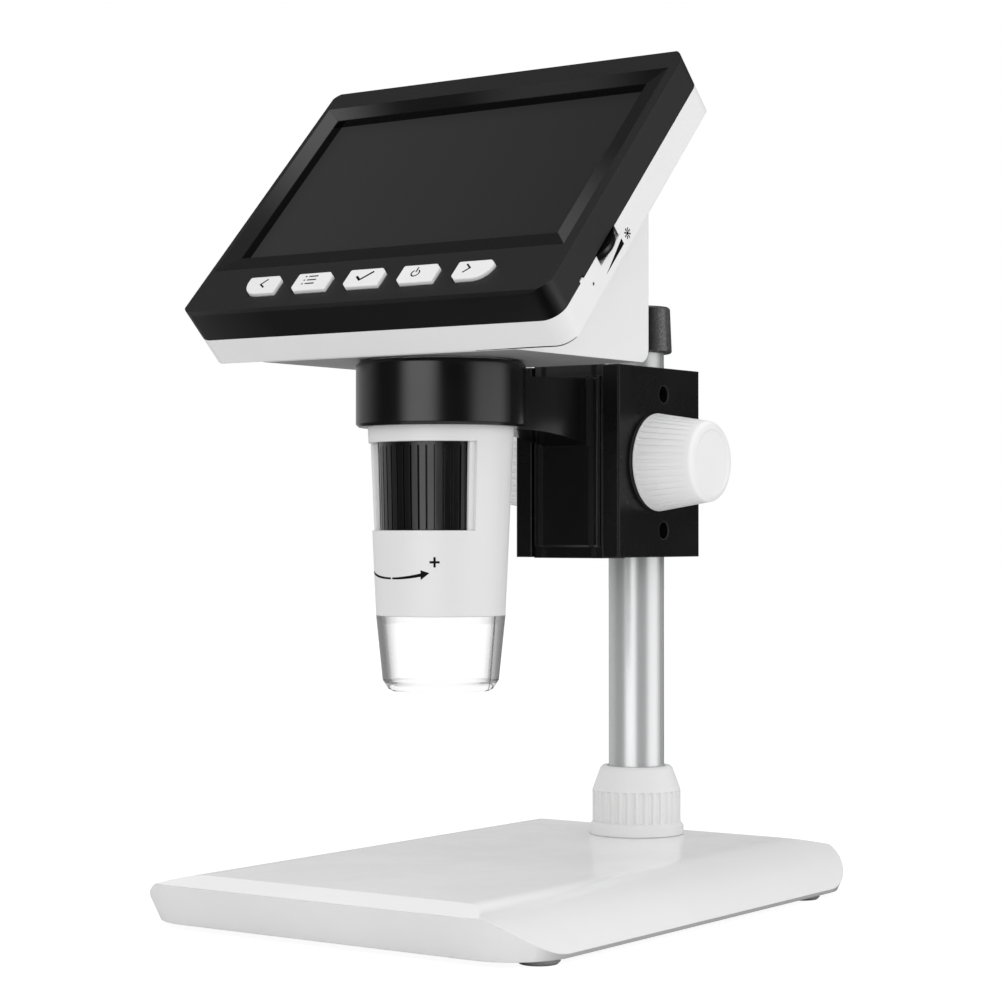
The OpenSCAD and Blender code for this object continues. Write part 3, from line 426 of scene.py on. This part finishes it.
# Black ink for print, also used for the painted shadow strip behind the slab
ink_and_shadow_black = moulded("ink_and_shadow_black", grey(0.005), (0.4, 0.55), (5000.0, 0.05), drift=0.1,
                    Specular_IOR_Level=0.05)
pole_metal = drawn("pole_metal", (0.61, 0.615, 0.62, 1), (0.25, 0.26), (1500.0, 0.002), 0.01, Metallic=0.4)
plain_steel = drawn("plain_steel", (0.55, 0.55, 0.54, 1), (0.25, 0.4), Metallic=1.0)
dark_steel = drawn("dark_steel", (0.05, 0.05, 0.052, 1), (0.3, 0.45), Metallic=0.6)
machined_brass = drawn("machined_brass", (0.72, 0.53, 0.22, 1), (0.2, 0.35), Metallic=1.0)


# Local looks of single finishes

def shader_of(material):
    return material.node_tree.nodes["Principled BSDF"]


def skin_of(material):
    """The shared group that feeds the material's shader."""
    return material.node_tree.nodes["skin"]


def mask_from(tree, group, **values):
    """A shared mask placed in a material, with its own values."""
    inputs = {label.replace("_", " "): value for label, value in values.items()}
    return add(tree, "ShaderNodeGroup", inputs, node_tree=group).outputs["Mask"]


def matt_where(material, mask, roughness):
    """Lets the mask move the gloss of a finish to another roughness."""
    tree = material.node_tree
    matt = mixed(tree, "FLOAT", mask, skin_of(material).outputs["Roughness"], roughness)
    tree.links.new(matt, shader_of(material).inputs["Roughness"])


def grain_where(material, mask, depth):
    """Lets the mask move the grain of a finish to another depth."""
    tree = material.node_tree
    grain = skin_of(material).inputs["Grain depth"]
    tree.links.new(mixed(tree, "FLOAT", mask, grain.default_value, depth), grain)


def tone_where(material, mask, colour):
    """Lets the mask move the colour of a finish to another one, which keeps its drift and edges."""
    tree = material.node_tree
    base = skin_of(material).inputs["Colour"]
    tree.links.new(mixed(tree, "RGBA", mask, base.default_value, colour), base)


def paint_where(material, mask, colour):
    """Lets the mask cover the finished colour with a plain one."""
    tree = material.node_tree
    painted = mixed(tree, "RGBA", mask, skin_of(material).outputs["Colour"], colour)
    tree.links.new(painted, shader_of(material).inputs["Base Color"])


def polish_window_rim(material):
    """The bevels and walls round the window are smooth and deep black inside the grained frame."""
    tree = material.node_tree
    rim = mask_from(tree, WINDOW_MASK, Half_width=RIM_HALF_W * MM, Half_height=RIM_HALF_H * MM,
                    Middle=RIM_MIDDLE * MM)
    paint_where(material, rim, grey(0.003))
    matt_where(material, rim, 0.06)
    grain_where(material, rim, 0.0)
    tree.links.new(rim, shader_of(material).inputs["Coat Weight"])


def paint_shade_on_lower_bevel(material):
    """Painted shade: the frame's lower bevel is painted darker from its left end to its right end."""
    tree = material.node_tree
    across = remap(tree, split(tree, own_place(tree))["X"], -BEVEL_HALF_W * MM, BEVEL_HALF_W * MM)
    tones = ramp(tree, across, (0.0, 0.037), (0.1, 0.021), (0.25, 0.0088), (0.7, 0.0075), (0.9, 0.003),
                 (1.0, 0.001))
    tone_where(material, mask_from(tree, LOWER_MASK), tones)


def paint_screen_glow(material):
    """Painted light: a faint glow on the dark screen, which is no lamp, fading towards its right end."""
    tree = material.node_tree
    sideways = split(tree, own_place(tree))["X"]
    glow = remap(tree, sideways, -GLOW_HALF_W * MM, GLOW_HALF_W * MM, *SCREEN_GLOW)
    colour = add(tree, "ShaderNodeCombineColor", {"Red": glow, "Green": glow, "Blue": glow})
    tree.links.new(colour.outputs["Color"], shader_of(material).inputs["Emission Color"])


def grain_walls(material):
    """The front and back walls of the foot are grained and matt, its top is smooth."""
    tree = material.node_tree
    walls = mask_from(tree, WALL_MASK)
    matt_where(material, walls, 0.6)
    grain_where(material, walls, 0.5)


def paint_shade_on_side_walls(material):
    """Painted shade: the low walls that draw in under the foot's rolled sides are painted greyer."""
    tree = material.node_tree
    under = mask_from(tree, UNDER_MASK, Start=-0.05, Full=-0.25)
    side = mask_from(tree, END_MASK)
    tone_where(material, maths(tree, "MULTIPLY", under, side), grey(0.5))


def paint_light_on_flutes(material):
    """Painted light: the flutes of a knob are painted a little whiter than its smooth end, to lift the shade
    that falls in them.
    """
    tree = material.node_tree
    flutes = maths(tree, "SUBTRACT", 1.0, mask_from(tree, END_MASK))
    tone_where(material, flutes, grey(0.97))


def speckle_and_painted_sheen(material):
    """Fine pale dots of a sparked mould, with a painted sheen in its colour where the wall turns away."""
    tree = material.node_tree
    dots = ramp(tree, noise(tree, own_place(tree), 2600.0, 2.0, 0.7), (0.42, 0.06), (0.68, 0.23))
    # Painted sheen: the colour grows lighter where the wall turns away from the view
    facing = add(tree, "ShaderNodeLayerWeight", {"Blend": 0.5}).outputs["Facing"]
    sheen = ramp(tree, facing, (0.1, 0.01), (0.15, 0.14), (0.21, 0.34), (0.3, 0.8), (0.38, 1.1),
                 (0.46, 0.85), (0.55, 0.55), (1.0, 0.38))
    speckled_sheen = mixed(tree, "RGBA", 1.0, dots, sheen, blend_type="MULTIPLY")
    tree.links.new(speckled_sheen, skin_of(material).inputs["Colour"])


polish_window_rim(black_bezel)
paint_shade_on_lower_bevel(black_bezel)
paint_screen_glow(screen_cover)
grain_walls(white_foot)
paint_shade_on_side_walls(white_foot)
paint_light_on_flutes(white_knob)
speckle_and_painted_sheen(cap_rubber)

# Painted shade: the underside of the head is painted greyer than its walls, and the inner corners of the arm
# are matt
paint_where(white_shell, mask_from(white_shell.node_tree, UNDER_MASK), grey(0.3))
matt_where(black_holder, mask_from(black_holder.node_tree, ROOT_MASK), 0.9)


def clear_moulding():
    """Clear plastic, greyer where the wall is seen along its length, and with painted shade that greys it
    further towards its right-hand back.
    """
    material, tree, shader = new_material(
        "clear_moulding", Metallic=0.0, Roughness=0.02, IOR=1.12, Transmission_Weight=1.0)
    facing = add(tree, "ShaderNodeLayerWeight", {"Blend": 0.5}).outputs["Facing"]
    # Painted shade: the tint is pushed greyer towards one fixed side of the hood
    sideways = vectors(tree, "DOT_PRODUCT", normal(tree), HOOD_SHADED_SIDE)
    along = maths(tree, "ADD", facing, remap(tree, sideways, 0.0, 1.0, 0.0, 0.1))
    tones = ramp(tree, along, (0.16, 1.0), (0.26, 0.96), (0.38, 0.72), (0.46, 0.48), (0.5, 0.22),
                 (1.0, 0.14))
    skin = mixed(tree, "RGBA", mask_from(tree, OUTER_MASK), grey(1.0), tones)
    tree.links.new(skin, shader.inputs["Base Color"])
    return material


def coated_glass():
    """Lens glass with the faint blue of its coating."""
    material, tree, shader = new_material(
        "coated_glass", Metallic=0.0, Roughness=0.01, IOR=1.52, Transmission_Weight=1.0)
    drift = noise(tree, own_place(tree), 90.0, 1.0, 0.5)
    tints = ramp(tree, drift, (0.0, (0.86, 0.9, 0.98, 1)), (1.0, (0.95, 0.97, 1.0, 1)))
    tree.links.new(tints, shader.inputs["Base Color"])
    return material


FINISH_OF_NODE = {
    white_shell: ("rear_shell",),
    white_barrel: ("barrel", "collet"),
    white_foot: ("base_shell",),
    white_knob: ("knob_right", "knob_left"),
    white_nut: ("collar_nut",),
    white_key: tuple(f"button_{name}" for name in KEY_NAMES),
    black_bezel: ("front_bezel",),
    black_block: ("focus_block", "sensor_holder", "lens_carrier", "brightness_pot"),
    black_holder: ("holder",),
    black_ribs: ("focus_ring", "brightness_wheel"),
    screen_cover: ("screen_glass",),
    cap_rubber: ("pole_cap",),
    foot_rubber: ("rubber_feet",),
    circuit_board: ("key_board", "main_board", "sensor_board"),
    lamp_board: ("led_board",),
    lamp_resin: ("leds",),
    cell_wrap: ("battery",),
    pole_metal: ("pole",),
    plain_steel: ("base_plate", "plate_screws", "knob_shaft", "rack_screws", "usb_socket", "card_socket",
                  "shell_screws", "barrel_screws"),
    dark_steel: ("clamp_screws", "lcd_panel", "key_switches", "reset_switch"),
    machined_brass: ("pinion", "rack"),
    clear_moulding(): ("clear_hood",),
    coated_glass(): ("lenses",),
}
for material, names in FINISH_OF_NODE.items():
    for name in names:
        slots = NODES[name].data.materials
        slots.clear()
        slots.append(material)


# Mesh helpers, in millimetres

def on_face(x, v, n):
    """A point of the screen head's own frame, in the object's frame and in metres."""
    turned = Matrix.Rotation(SCREEN_TILT, 3, "X") @ Vector((x, v, n))
    return (SCREEN_MIDDLE + turned) * MM


def on_right_side(v, n, out):
    """A point on the head's right side."""
    return on_face(HEAD_SIDE + out, v, n)


def on_barrel(angle, z, out):
    """A point on the barrel's cone, angle in degrees from the front towards the right."""
    turn = math.radians(angle)
    r = BARREL_TIP_R + (z - BARREL_TIP_Z) * BARREL_TAPER + out
    return Vector((r * math.sin(turn), BARREL_Y - r * math.cos(turn), z)) * MM


def make_piece(name, bm, body, material):
    """Turns the built mesh into a piece that moves with a body."""
    bmesh.ops.recalc_face_normals(bm, faces=bm.faces)
    mesh = bpy.data.meshes.new(name)
    bm.to_mesh(mesh)
    bm.free()
    mesh.materials.append(material)
    piece = bpy.data.objects.new(name, mesh)
    bpy.context.scene.collection.objects.link(piece)
    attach(piece, body)
    return piece


def stroke(points, width):
    """Quads along a line of points, mitred where it turns."""
    points = [Vector(p) for p in points]
    sides = []
    for i, p in enumerate(points):
        into = (p - points[i - 1] if i > 0 else points[1] - p).normalized()
        out = (points[i + 1] - p).normalized() if i < len(points) - 1 else into
        along = (into + out).normalized()
        across = Vector((-along.y, along.x)) * (width / 2 / max(along.dot(into), LEAST_MITRE))
        sides.append((p + across, p - across))
    return [[a[0], a[1], b[1], b[0]] for a, b in zip(sides, sides[1:])]


def arc(centre, radius, start, end, steps):
    """Points of an arc, angles in degrees."""
    turns = [math.radians(start + (end - start) * i / steps) for i in range(steps + 1)]
    return [(centre[0] + radius * math.cos(t), centre[1] + radius * math.sin(t)) for t in turns]


def ink_and_shadow_layer(name, outlines, place, body):
    """A thin black layer, ink for print and painted shadow for the slab's strip: flat outlines, thickened
    and laid on a surface by place(u, w, height).
    """
    bm = bmesh.new()
    for outline in outlines:
        bm.faces.new([bm.verts.new((p[0], p[1], 0)) for p in outline])
    bmesh.ops.remove_doubles(bm, verts=bm.verts, dist=INK_WELD)
    bmesh.ops.recalc_face_normals(bm, faces=bm.faces)
    bmesh.ops.solidify(bm, geom=bm.faces[:], thickness=INK_RISE + INK_SINK)
    top = max(v.co.z for v in bm.verts)
    for v in bm.verts:
        height = INK_RISE if abs(v.co.z - top) < 1e-4 else -INK_SINK
        v.co = place(v.co.x, v.co.y, height)
    return make_piece(name, bm, body, ink_and_shadow_black)


# Key caps

def key_x(index):
    """Middle of a key, counted from the middle one."""
    return index * KEY_PITCH + KEY_SHIFT


def rounded_corner(corner, before, after, radius, steps):
    """Points of an arc that rounds one corner of an outline."""
    corner, before, after = Vector(corner), Vector(before), Vector(after)
    a = (before - corner).normalized()
    b = (after - corner).normalized()
    half = a.angle(b) / 2
    reach = radius / math.tan(half)
    centre = corner + (a + b).normalized() * (radius / math.sin(half))
    start = corner + a * reach - centre
    end = corner + b * reach - centre
    turn = start.angle_signed(end)
    return [centre + Matrix.Rotation(-turn * i / steps, 2) @ start for i in range(steps + 1)]


def key_outline(kind, inset):
    """Outline of a key: the middle ones have two cut corners, the end ones a swept one."""
    left = (KEY_TRIMS[0] if kind == "first" else 0) - KEY_W / 2 + inset
    right = KEY_W / 2 - inset - (KEY_TRIMS[1] if kind == "last" else 0)
    y = KEY_H / 2 - inset
    cut = KEY_CUT - KEY_CUT_SHRINK * inset
    sweep = KEY_SWEEP - inset
    small = KEY_CORNER - KEY_CORNER_SHRINK * inset
    corners = [((left, y), small), ((right - cut, y), small), ((right, y - cut), small * 0.5)]
    corners += [((right, -y), sweep if kind == "last" else small)]
    if kind == "first":
        corners += [((left, -y), sweep)]
    else:
        corners += [((left + cut, -y), small), ((left, -y + cut), small)]
    points = []
    for i, (corner, radius) in enumerate(corners):
        before = corners[i - 1][0]
        after = corners[(i + 1) % len(corners)][0]
        steps = KEY_SWEEP_STEPS if radius == sweep else KEY_CORNER_STEPS
        points += rounded_corner(corner, before, after, radius, steps)
    return points


def key_cap(index, kind):
    """A key cap with a rounded rim and a flat top."""
    rim = [(0.0, KEY_SKIRT)] + [(inset, KEY_OUT - drop) for inset, drop in KEY_RIM]
    bm = bmesh.new()
    rings = []
    for inset, n in rim:
        ring = [on_face(key_x(index) + p.x, KEY_V + p.y, n) for p in key_outline(kind, inset)]
        rings.append([bm.verts.new(p) for p in ring])
    for low, high in zip(rings, rings[1:]):
        for i in range(len(low)):
            j = (i + 1) % len(low)
            bm.faces.new((low[i], low[j], high[j], high[i]))
    bm.faces.new(rings[-1])
    bm.faces.new(rings[0][::-1])
    for face in bm.faces:
        face.smooth = len(face.verts) == 4
    name = KEY_NAMES[index + 2]
    cap = make_piece(f"key_cap_{name}", bm, f"{name}_key", white_key)
    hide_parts(f"button_{name}")


for i, kind in enumerate(KEY_KINDS):
    key_cap(i - 2, kind)


def key_mark(name, outlines):
    """Ink on top of a key, drawn from the key's middle."""
    index = KEY_NAMES.index(name) - 2

    def place(u, w, height):
        return on_face(key_x(index) + u, KEY_V + w, KEY_OUT + height)

    ink_and_shadow_layer(f"mark_{name}", outlines, place, f"{name}_key")


MENU_ROWS = (1.85, 0.54, -0.78)
MENU_DOT = (-2.8, -2.35)
MENU_LINE = (-1.7, 1.1)
POWER = (-0.75, 0.15)
POWER_R = 1.12
POWER_BAR = (2.2, 0.5)
key_mark("back", stroke([(1.4, 1.95), (-0.15, 0.15), (1.4, -1.05)], CHEVRON_STROKE))
key_mark("next", stroke([(-2.7, 2.0), (-1.2, 0.55), (-2.7, -0.9)], CHEVRON_STROKE))
key_mark("menu", [
    stroke([(u, w) for u in ends], LIST_STROKE)[0] for ends in (MENU_LINE, MENU_DOT) for w in MENU_ROWS])
key_mark("ok", stroke([(-2.4, 0.5), (-0.9, -0.9), (2.2, 1.9)], CHECK_STROKE))
power_ring = stroke(arc(POWER, POWER_R, 125, 415, 28), POWER_STROKE)
power_bar = stroke([(POWER[0], w) for w in POWER_BAR], POWER_STROKE)
key_mark("power", power_ring + power_bar)


# Marks beside the brightness wheel: a wedge that widens upwards and a small sun
WEDGE = ((-27.7, -14.85), (-16.75, -14.75), (-16.75, -13.1))
SUN = (-13.8, -14.0)
SUN_RAYS = 8
SUN_RAY = (0.6, 1.4)
SUN_CORE = 0.46
ink_and_shadow_layer("mark_brightness", [WEDGE], on_right_side, "head")
sun_rays = []
for i in range(SUN_RAYS):
    turn = math.tau * i / SUN_RAYS
    ray = [(SUN[0] + r * math.cos(turn), SUN[1] + r * math.sin(turn)) for r in SUN_RAY]
    sun_rays += stroke(ray, SUN_STROKE)
ink_and_shadow_layer("mark_sun", sun_rays + [arc(SUN, SUN_CORE, 0, 345, 23)], on_right_side, "head")

# Plunger of the reset switch, dark at the bottom of its pinhole
RESET = (-33.4, -12.7)
RESET_R = 0.39
RESET_LENGTH = 1.0
RESET_DEPTH = 0.62
pin = bmesh.new()
bmesh.ops.create_cone(pin, cap_ends=True, segments=20, radius1=RESET_R, radius2=RESET_R, depth=RESET_LENGTH)
for v in pin.verts:
    v.co = on_right_side(RESET[0] + v.co.x, RESET[1] + v.co.y, v.co.z - RESET_DEPTH)
make_piece("reset_plunger", pin, "head", ink_and_shadow_black)

# Painted shadow: a black strip behind the slab's lower right corner, where a thin shadow shows, widest past
# its middle
SHADOW_START = 28.0
SHADOW_TURN = 66.0
SHADOW_WIDTH = 0.19
SHADOW_LEAST = 0.02
SHADOW_BEHIND = 0.1
SHADOW_LEAN = 1.6
SHADOW_STRAIGHT_STEPS = 6
SHADOW_BEND_STEPS = 10


def on_slab_edge(u, w, height):
    """A point at length u along the slab's lower edge and round its corner, w in front of its back."""
    bend_x = HEAD_SIDE - HEAD_CORNER
    turn = max(0.0, SHADOW_START + u - bend_x) / HEAD_CORNER
    r = HEAD_CORNER + height
    x = min(SHADOW_START + u, bend_x) + r * math.sin(turn)
    return on_face(x, HEAD_CORNER - HEAD_DOWN - r * math.cos(turn), SLAB_BACK + SLAB_EDGE + w)


def slab_shadow_strip():
    """Strips of painted shadow along the slab's lower edge and round its corner."""
    straight = HEAD_SIDE - HEAD_CORNER - SHADOW_START
    bend = math.radians(SHADOW_TURN) * HEAD_CORNER
    length = straight + bend
    along = [straight * i / SHADOW_STRAIGHT_STEPS for i in range(SHADOW_STRAIGHT_STEPS)]
    along += [straight + bend * i / SHADOW_BEND_STEPS for i in range(SHADOW_BEND_STEPS + 1)]
    edge = [(u, SHADOW_LEAST + SHADOW_WIDTH * math.sin(math.pi * (u / length) ** SHADOW_LEAN)) for u in along]
    strips = [[(a[0], -SHADOW_BEHIND), (b[0], -SHADOW_BEHIND), b, a] for a, b in zip(edge, edge[1:])]
    ink_and_shadow_layer("slab_shadow_strip", strips, on_slab_edge, "head")


slab_shadow_strip()

# Focus mark round the barrel: a double arrow that dips in the middle, with a plus and a minus
ARROW_MIDDLE = -10.0
ARROW_GAP = 0.9
ARROW_TIPS = (-75.0, 27.0)
ARROW_Z = 86.05
ARROW_BEND = 0.001
ARROW_BEND_REACH = 37.0
ARROW_HEAD_TURN = 7.5
ARROW_HEAD_HALVES = (1.2, 0.02)
ARROW_LINE_HALVES = (0.22, 0.4)


def arrow_z(angle):
    """Height of the arrow's middle line at an angle round the barrel."""
    return ARROW_Z + ARROW_BEND * min(abs(angle - ARROW_MIDDLE), ARROW_BEND_REACH) ** 2


def arrow_strips(start, stop, halves, count):
    """Short strips along the arrow, which follow the roundness of the barrel."""
    shares = [i / count for i in range(count + 1)]
    rows = [(start + (stop - start) * s, halves[0] + (halves[1] - halves[0]) * s) for s in shares]
    low = [(a, arrow_z(a) - half) for a, half in rows]
    high = [(a, arrow_z(a) + half) for a, half in rows]
    return [[low[i], low[i + 1], high[i + 1], high[i]] for i in range(count)]


def arrow_half(name, tip):
    """One half of the double arrow, from the gap in the middle to its tip."""
    side = math.copysign(1, tip - ARROW_MIDDLE)
    start = ARROW_MIDDLE + side * ARROW_GAP
    stop = tip - side * ARROW_HEAD_TURN
    ink_and_shadow_layer(f"{name}_line", arrow_strips(start, stop, ARROW_LINE_HALVES, 16), on_barrel, "head")
    ink_and_shadow_layer(f"{name}_head", arrow_strips(stop, tip, ARROW_HEAD_HALVES, 6), on_barrel, "head")


for name, tip in zip(("arrow_minus", "arrow_plus"), ARROW_TIPS):
    arrow_half(name, tip)

# Plus and minus: half width and half height of the sign, in degrees and millimetres, and of its bars
PLUS = (31.5, 90.05)
MINUS = (-80.0, 90.05)
SIGN_TURN = 4.2
SIGN_RISE = 1.25
BAR_TURN = 0.95
BAR_RISE = 0.28
MINUS_STRIPS = 4
plus_outline = (
    (-SIGN_TURN, -BAR_RISE), (-BAR_TURN, -BAR_RISE), (-BAR_TURN, -SIGN_RISE),
    (BAR_TURN, -SIGN_RISE), (BAR_TURN, -BAR_RISE), (SIGN_TURN, -BAR_RISE),
    (SIGN_TURN, BAR_RISE), (BAR_TURN, BAR_RISE), (BAR_TURN, SIGN_RISE),
    (-BAR_TURN, SIGN_RISE), (-BAR_TURN, BAR_RISE), (-SIGN_TURN, BAR_RISE))
ink_and_shadow_layer("mark_plus", [[(PLUS[0] + turn, PLUS[1] + rise) for turn, rise in plus_outline]], on_barrel, "head")
minus_strips = []
for i in range(MINUS_STRIPS):
    left, right = (MINUS[0] - SIGN_TURN + 2 * SIGN_TURN * j / MINUS_STRIPS for j in (i, i + 1))
    low, high = MINUS[1] - BAR_RISE, MINUS[1] + BAR_RISE
    minus_strips.append([(left, low), (right, low), (right, high), (left, high)])
ink_and_shadow_layer("mark_minus", minus_strips, on_barrel, "head")


# Stage, light and camera

def by_ray(tree, surface, shades):
    """Shows another shader to some kinds of rays, each wholly or by a share."""
    rays = add(tree, "ShaderNodeLightPath").outputs
    for ray, shade, share in shades:
        part = maths(tree, "MULTIPLY", rays[ray], share)
        surface = add(tree, "ShaderNodeMixShader", {0: part, 1: surface, 2: shade}).outputs[0]
    return surface


def backdrop_floor():
    """A pale floor that reads white to the camera, keeps a faint shadow and is left out of reflections."""
    mesh = bpy.data.meshes.new("floor")
    corners = [(FLOOR_REACH * x, FLOOR_REACH * y, 0) for x, y in ((-1, -1), (1, -1), (1, 1), (-1, 1))]
    mesh.from_pydata(corners, [], [(0, 1, 2, 3)])
    floor = bpy.data.objects.new("floor", mesh)
    bpy.context.scene.collection.objects.link(floor)
    material = bpy.data.materials.new("pale_floor")
    material.use_nodes = True
    tree = material.node_tree
    tree.nodes.clear()
    paper = add(tree, "ShaderNodeBsdfDiffuse", {"Color": grey(FLOOR_BOUNCE)}).outputs[0]
    glow = add(tree, "ShaderNodeEmission", {"Color": grey(1.0), "Strength": FLOOR_GLOW}).outputs[0]
    unseen = add(tree, "ShaderNodeBsdfTransparent").outputs[0]
    surface = by_ray(tree, paper, (
        ("Is Glossy Ray", unseen, 1.0), ("Is Transmission Ray", glow, 1.0),
        ("Is Camera Ray", glow, FLOOR_WHITE_SHARE)))
    add(tree, "ShaderNodeOutputMaterial", {"Surface": surface})
    mesh.materials.append(material)


def toward(azimuth, elevation=0.0):
    """A direction, its azimuth in degrees from the front towards the right."""
    turn, rise = math.radians(azimuth), math.radians(elevation)
    return Vector((math.sin(turn) * math.cos(rise), -math.cos(turn) * math.cos(rise), math.sin(rise)))


def pale_world():
    """White to the camera, even light on the object, and soft white panels in a dim room for its gloss."""
    world = bpy.data.worlds.new("studio")
    world.use_nodes = True
    tree = world.node_tree
    tree.nodes.clear()
    place = add(tree, "ShaderNodeTexCoord").outputs["Generated"]
    around = vectors(tree, "NORMALIZE", vectors(tree, "MULTIPLY", place, (1, 1, 0)))
    height = split(tree, place)["Z"]

    def fade(value, dark, bright):
        return remap(tree, value, dark, bright, interpolation_type="SMOOTHSTEP")

    def panel(source, direction, inner, outer, strength):
        closeness = vectors(tree, "DOT_PRODUCT", source, direction)
        shape = fade(closeness, math.cos(math.radians(outer)), math.cos(math.radians(inner)))
        return maths(tree, "MULTIPLY", shape, strength)

    def panel_row(panels):
        total = 0.0
        for azimuth, *shape in panels:
            total = maths(tree, "ADD", total, panel(around, toward(azimuth), *shape))
        return total

    walls = maths(tree, "MULTIPLY", panel_row(WALL_PANELS), fade(height, 0.6, 0.35))
    low = maths(tree, "MULTIPLY", panel_row(LOW_PANELS), fade(height, 0.05, 0.0))
    gloss = maths(tree, "MULTIPLY", maths(tree, "ADD", walls, low), fade(height, -0.4, -0.15))
    for azimuth, elevation, *shape in HIGH_PANELS:
        gloss = maths(tree, "ADD", gloss, panel(place, toward(azimuth, elevation), *shape))
    gloss = maths(tree, "ADD", gloss, ROOM_GLINT)

    even, room, white = (
        add(tree, "ShaderNodeBackground", {"Color": grey(1.0), "Strength": strength}).outputs[0]
        for strength in (ROOM_LIGHT, gloss, 1.0))
    surface = by_ray(tree, even, (
        ("Is Glossy Ray", room, 1.0), ("Is Transmission Ray", white, 1.0), ("Is Camera Ray", white, 1.0)))
    add(tree, "ShaderNodeOutputWorld", {"Surface": surface})
    bpy.context.scene.world = world


def softbox(name, place, size, power):
    """A square soft light aimed at the object."""
    data = bpy.data.lights.new(name, "AREA")
    data.shape = "SQUARE"
    data.size = size
    data.energy = power
    light = bpy.data.objects.new(name, data)
    light.visible_glossy = False
    light.location = place
    light.rotation_euler = (Vector(LIGHT_AIM) - Vector(place)).to_track_quat("-Z", "Y").to_euler()
    bpy.context.scene.collection.objects.link(light)


def camera():
    """The camera at the photograph's point of view."""
    data = bpy.data.cameras.new("camera")
    data.lens = CAMERA_LENS
    data.sensor_width = CAMERA_SENSOR
    data.clip_end = CAMERA_REACH
    view = bpy.data.objects.new("camera", data)
    view.location = CAMERA_PLACE
    view.rotation_euler = CAMERA_TURN
    bpy.context.scene.collection.objects.link(view)
    bpy.context.scene.camera = view


backdrop_floor()
pale_world()
for softbox_values in SOFTBOXES:
    softbox(*softbox_values)
camera()
bpy.context.scene.view_settings.view_transform = "Standard"
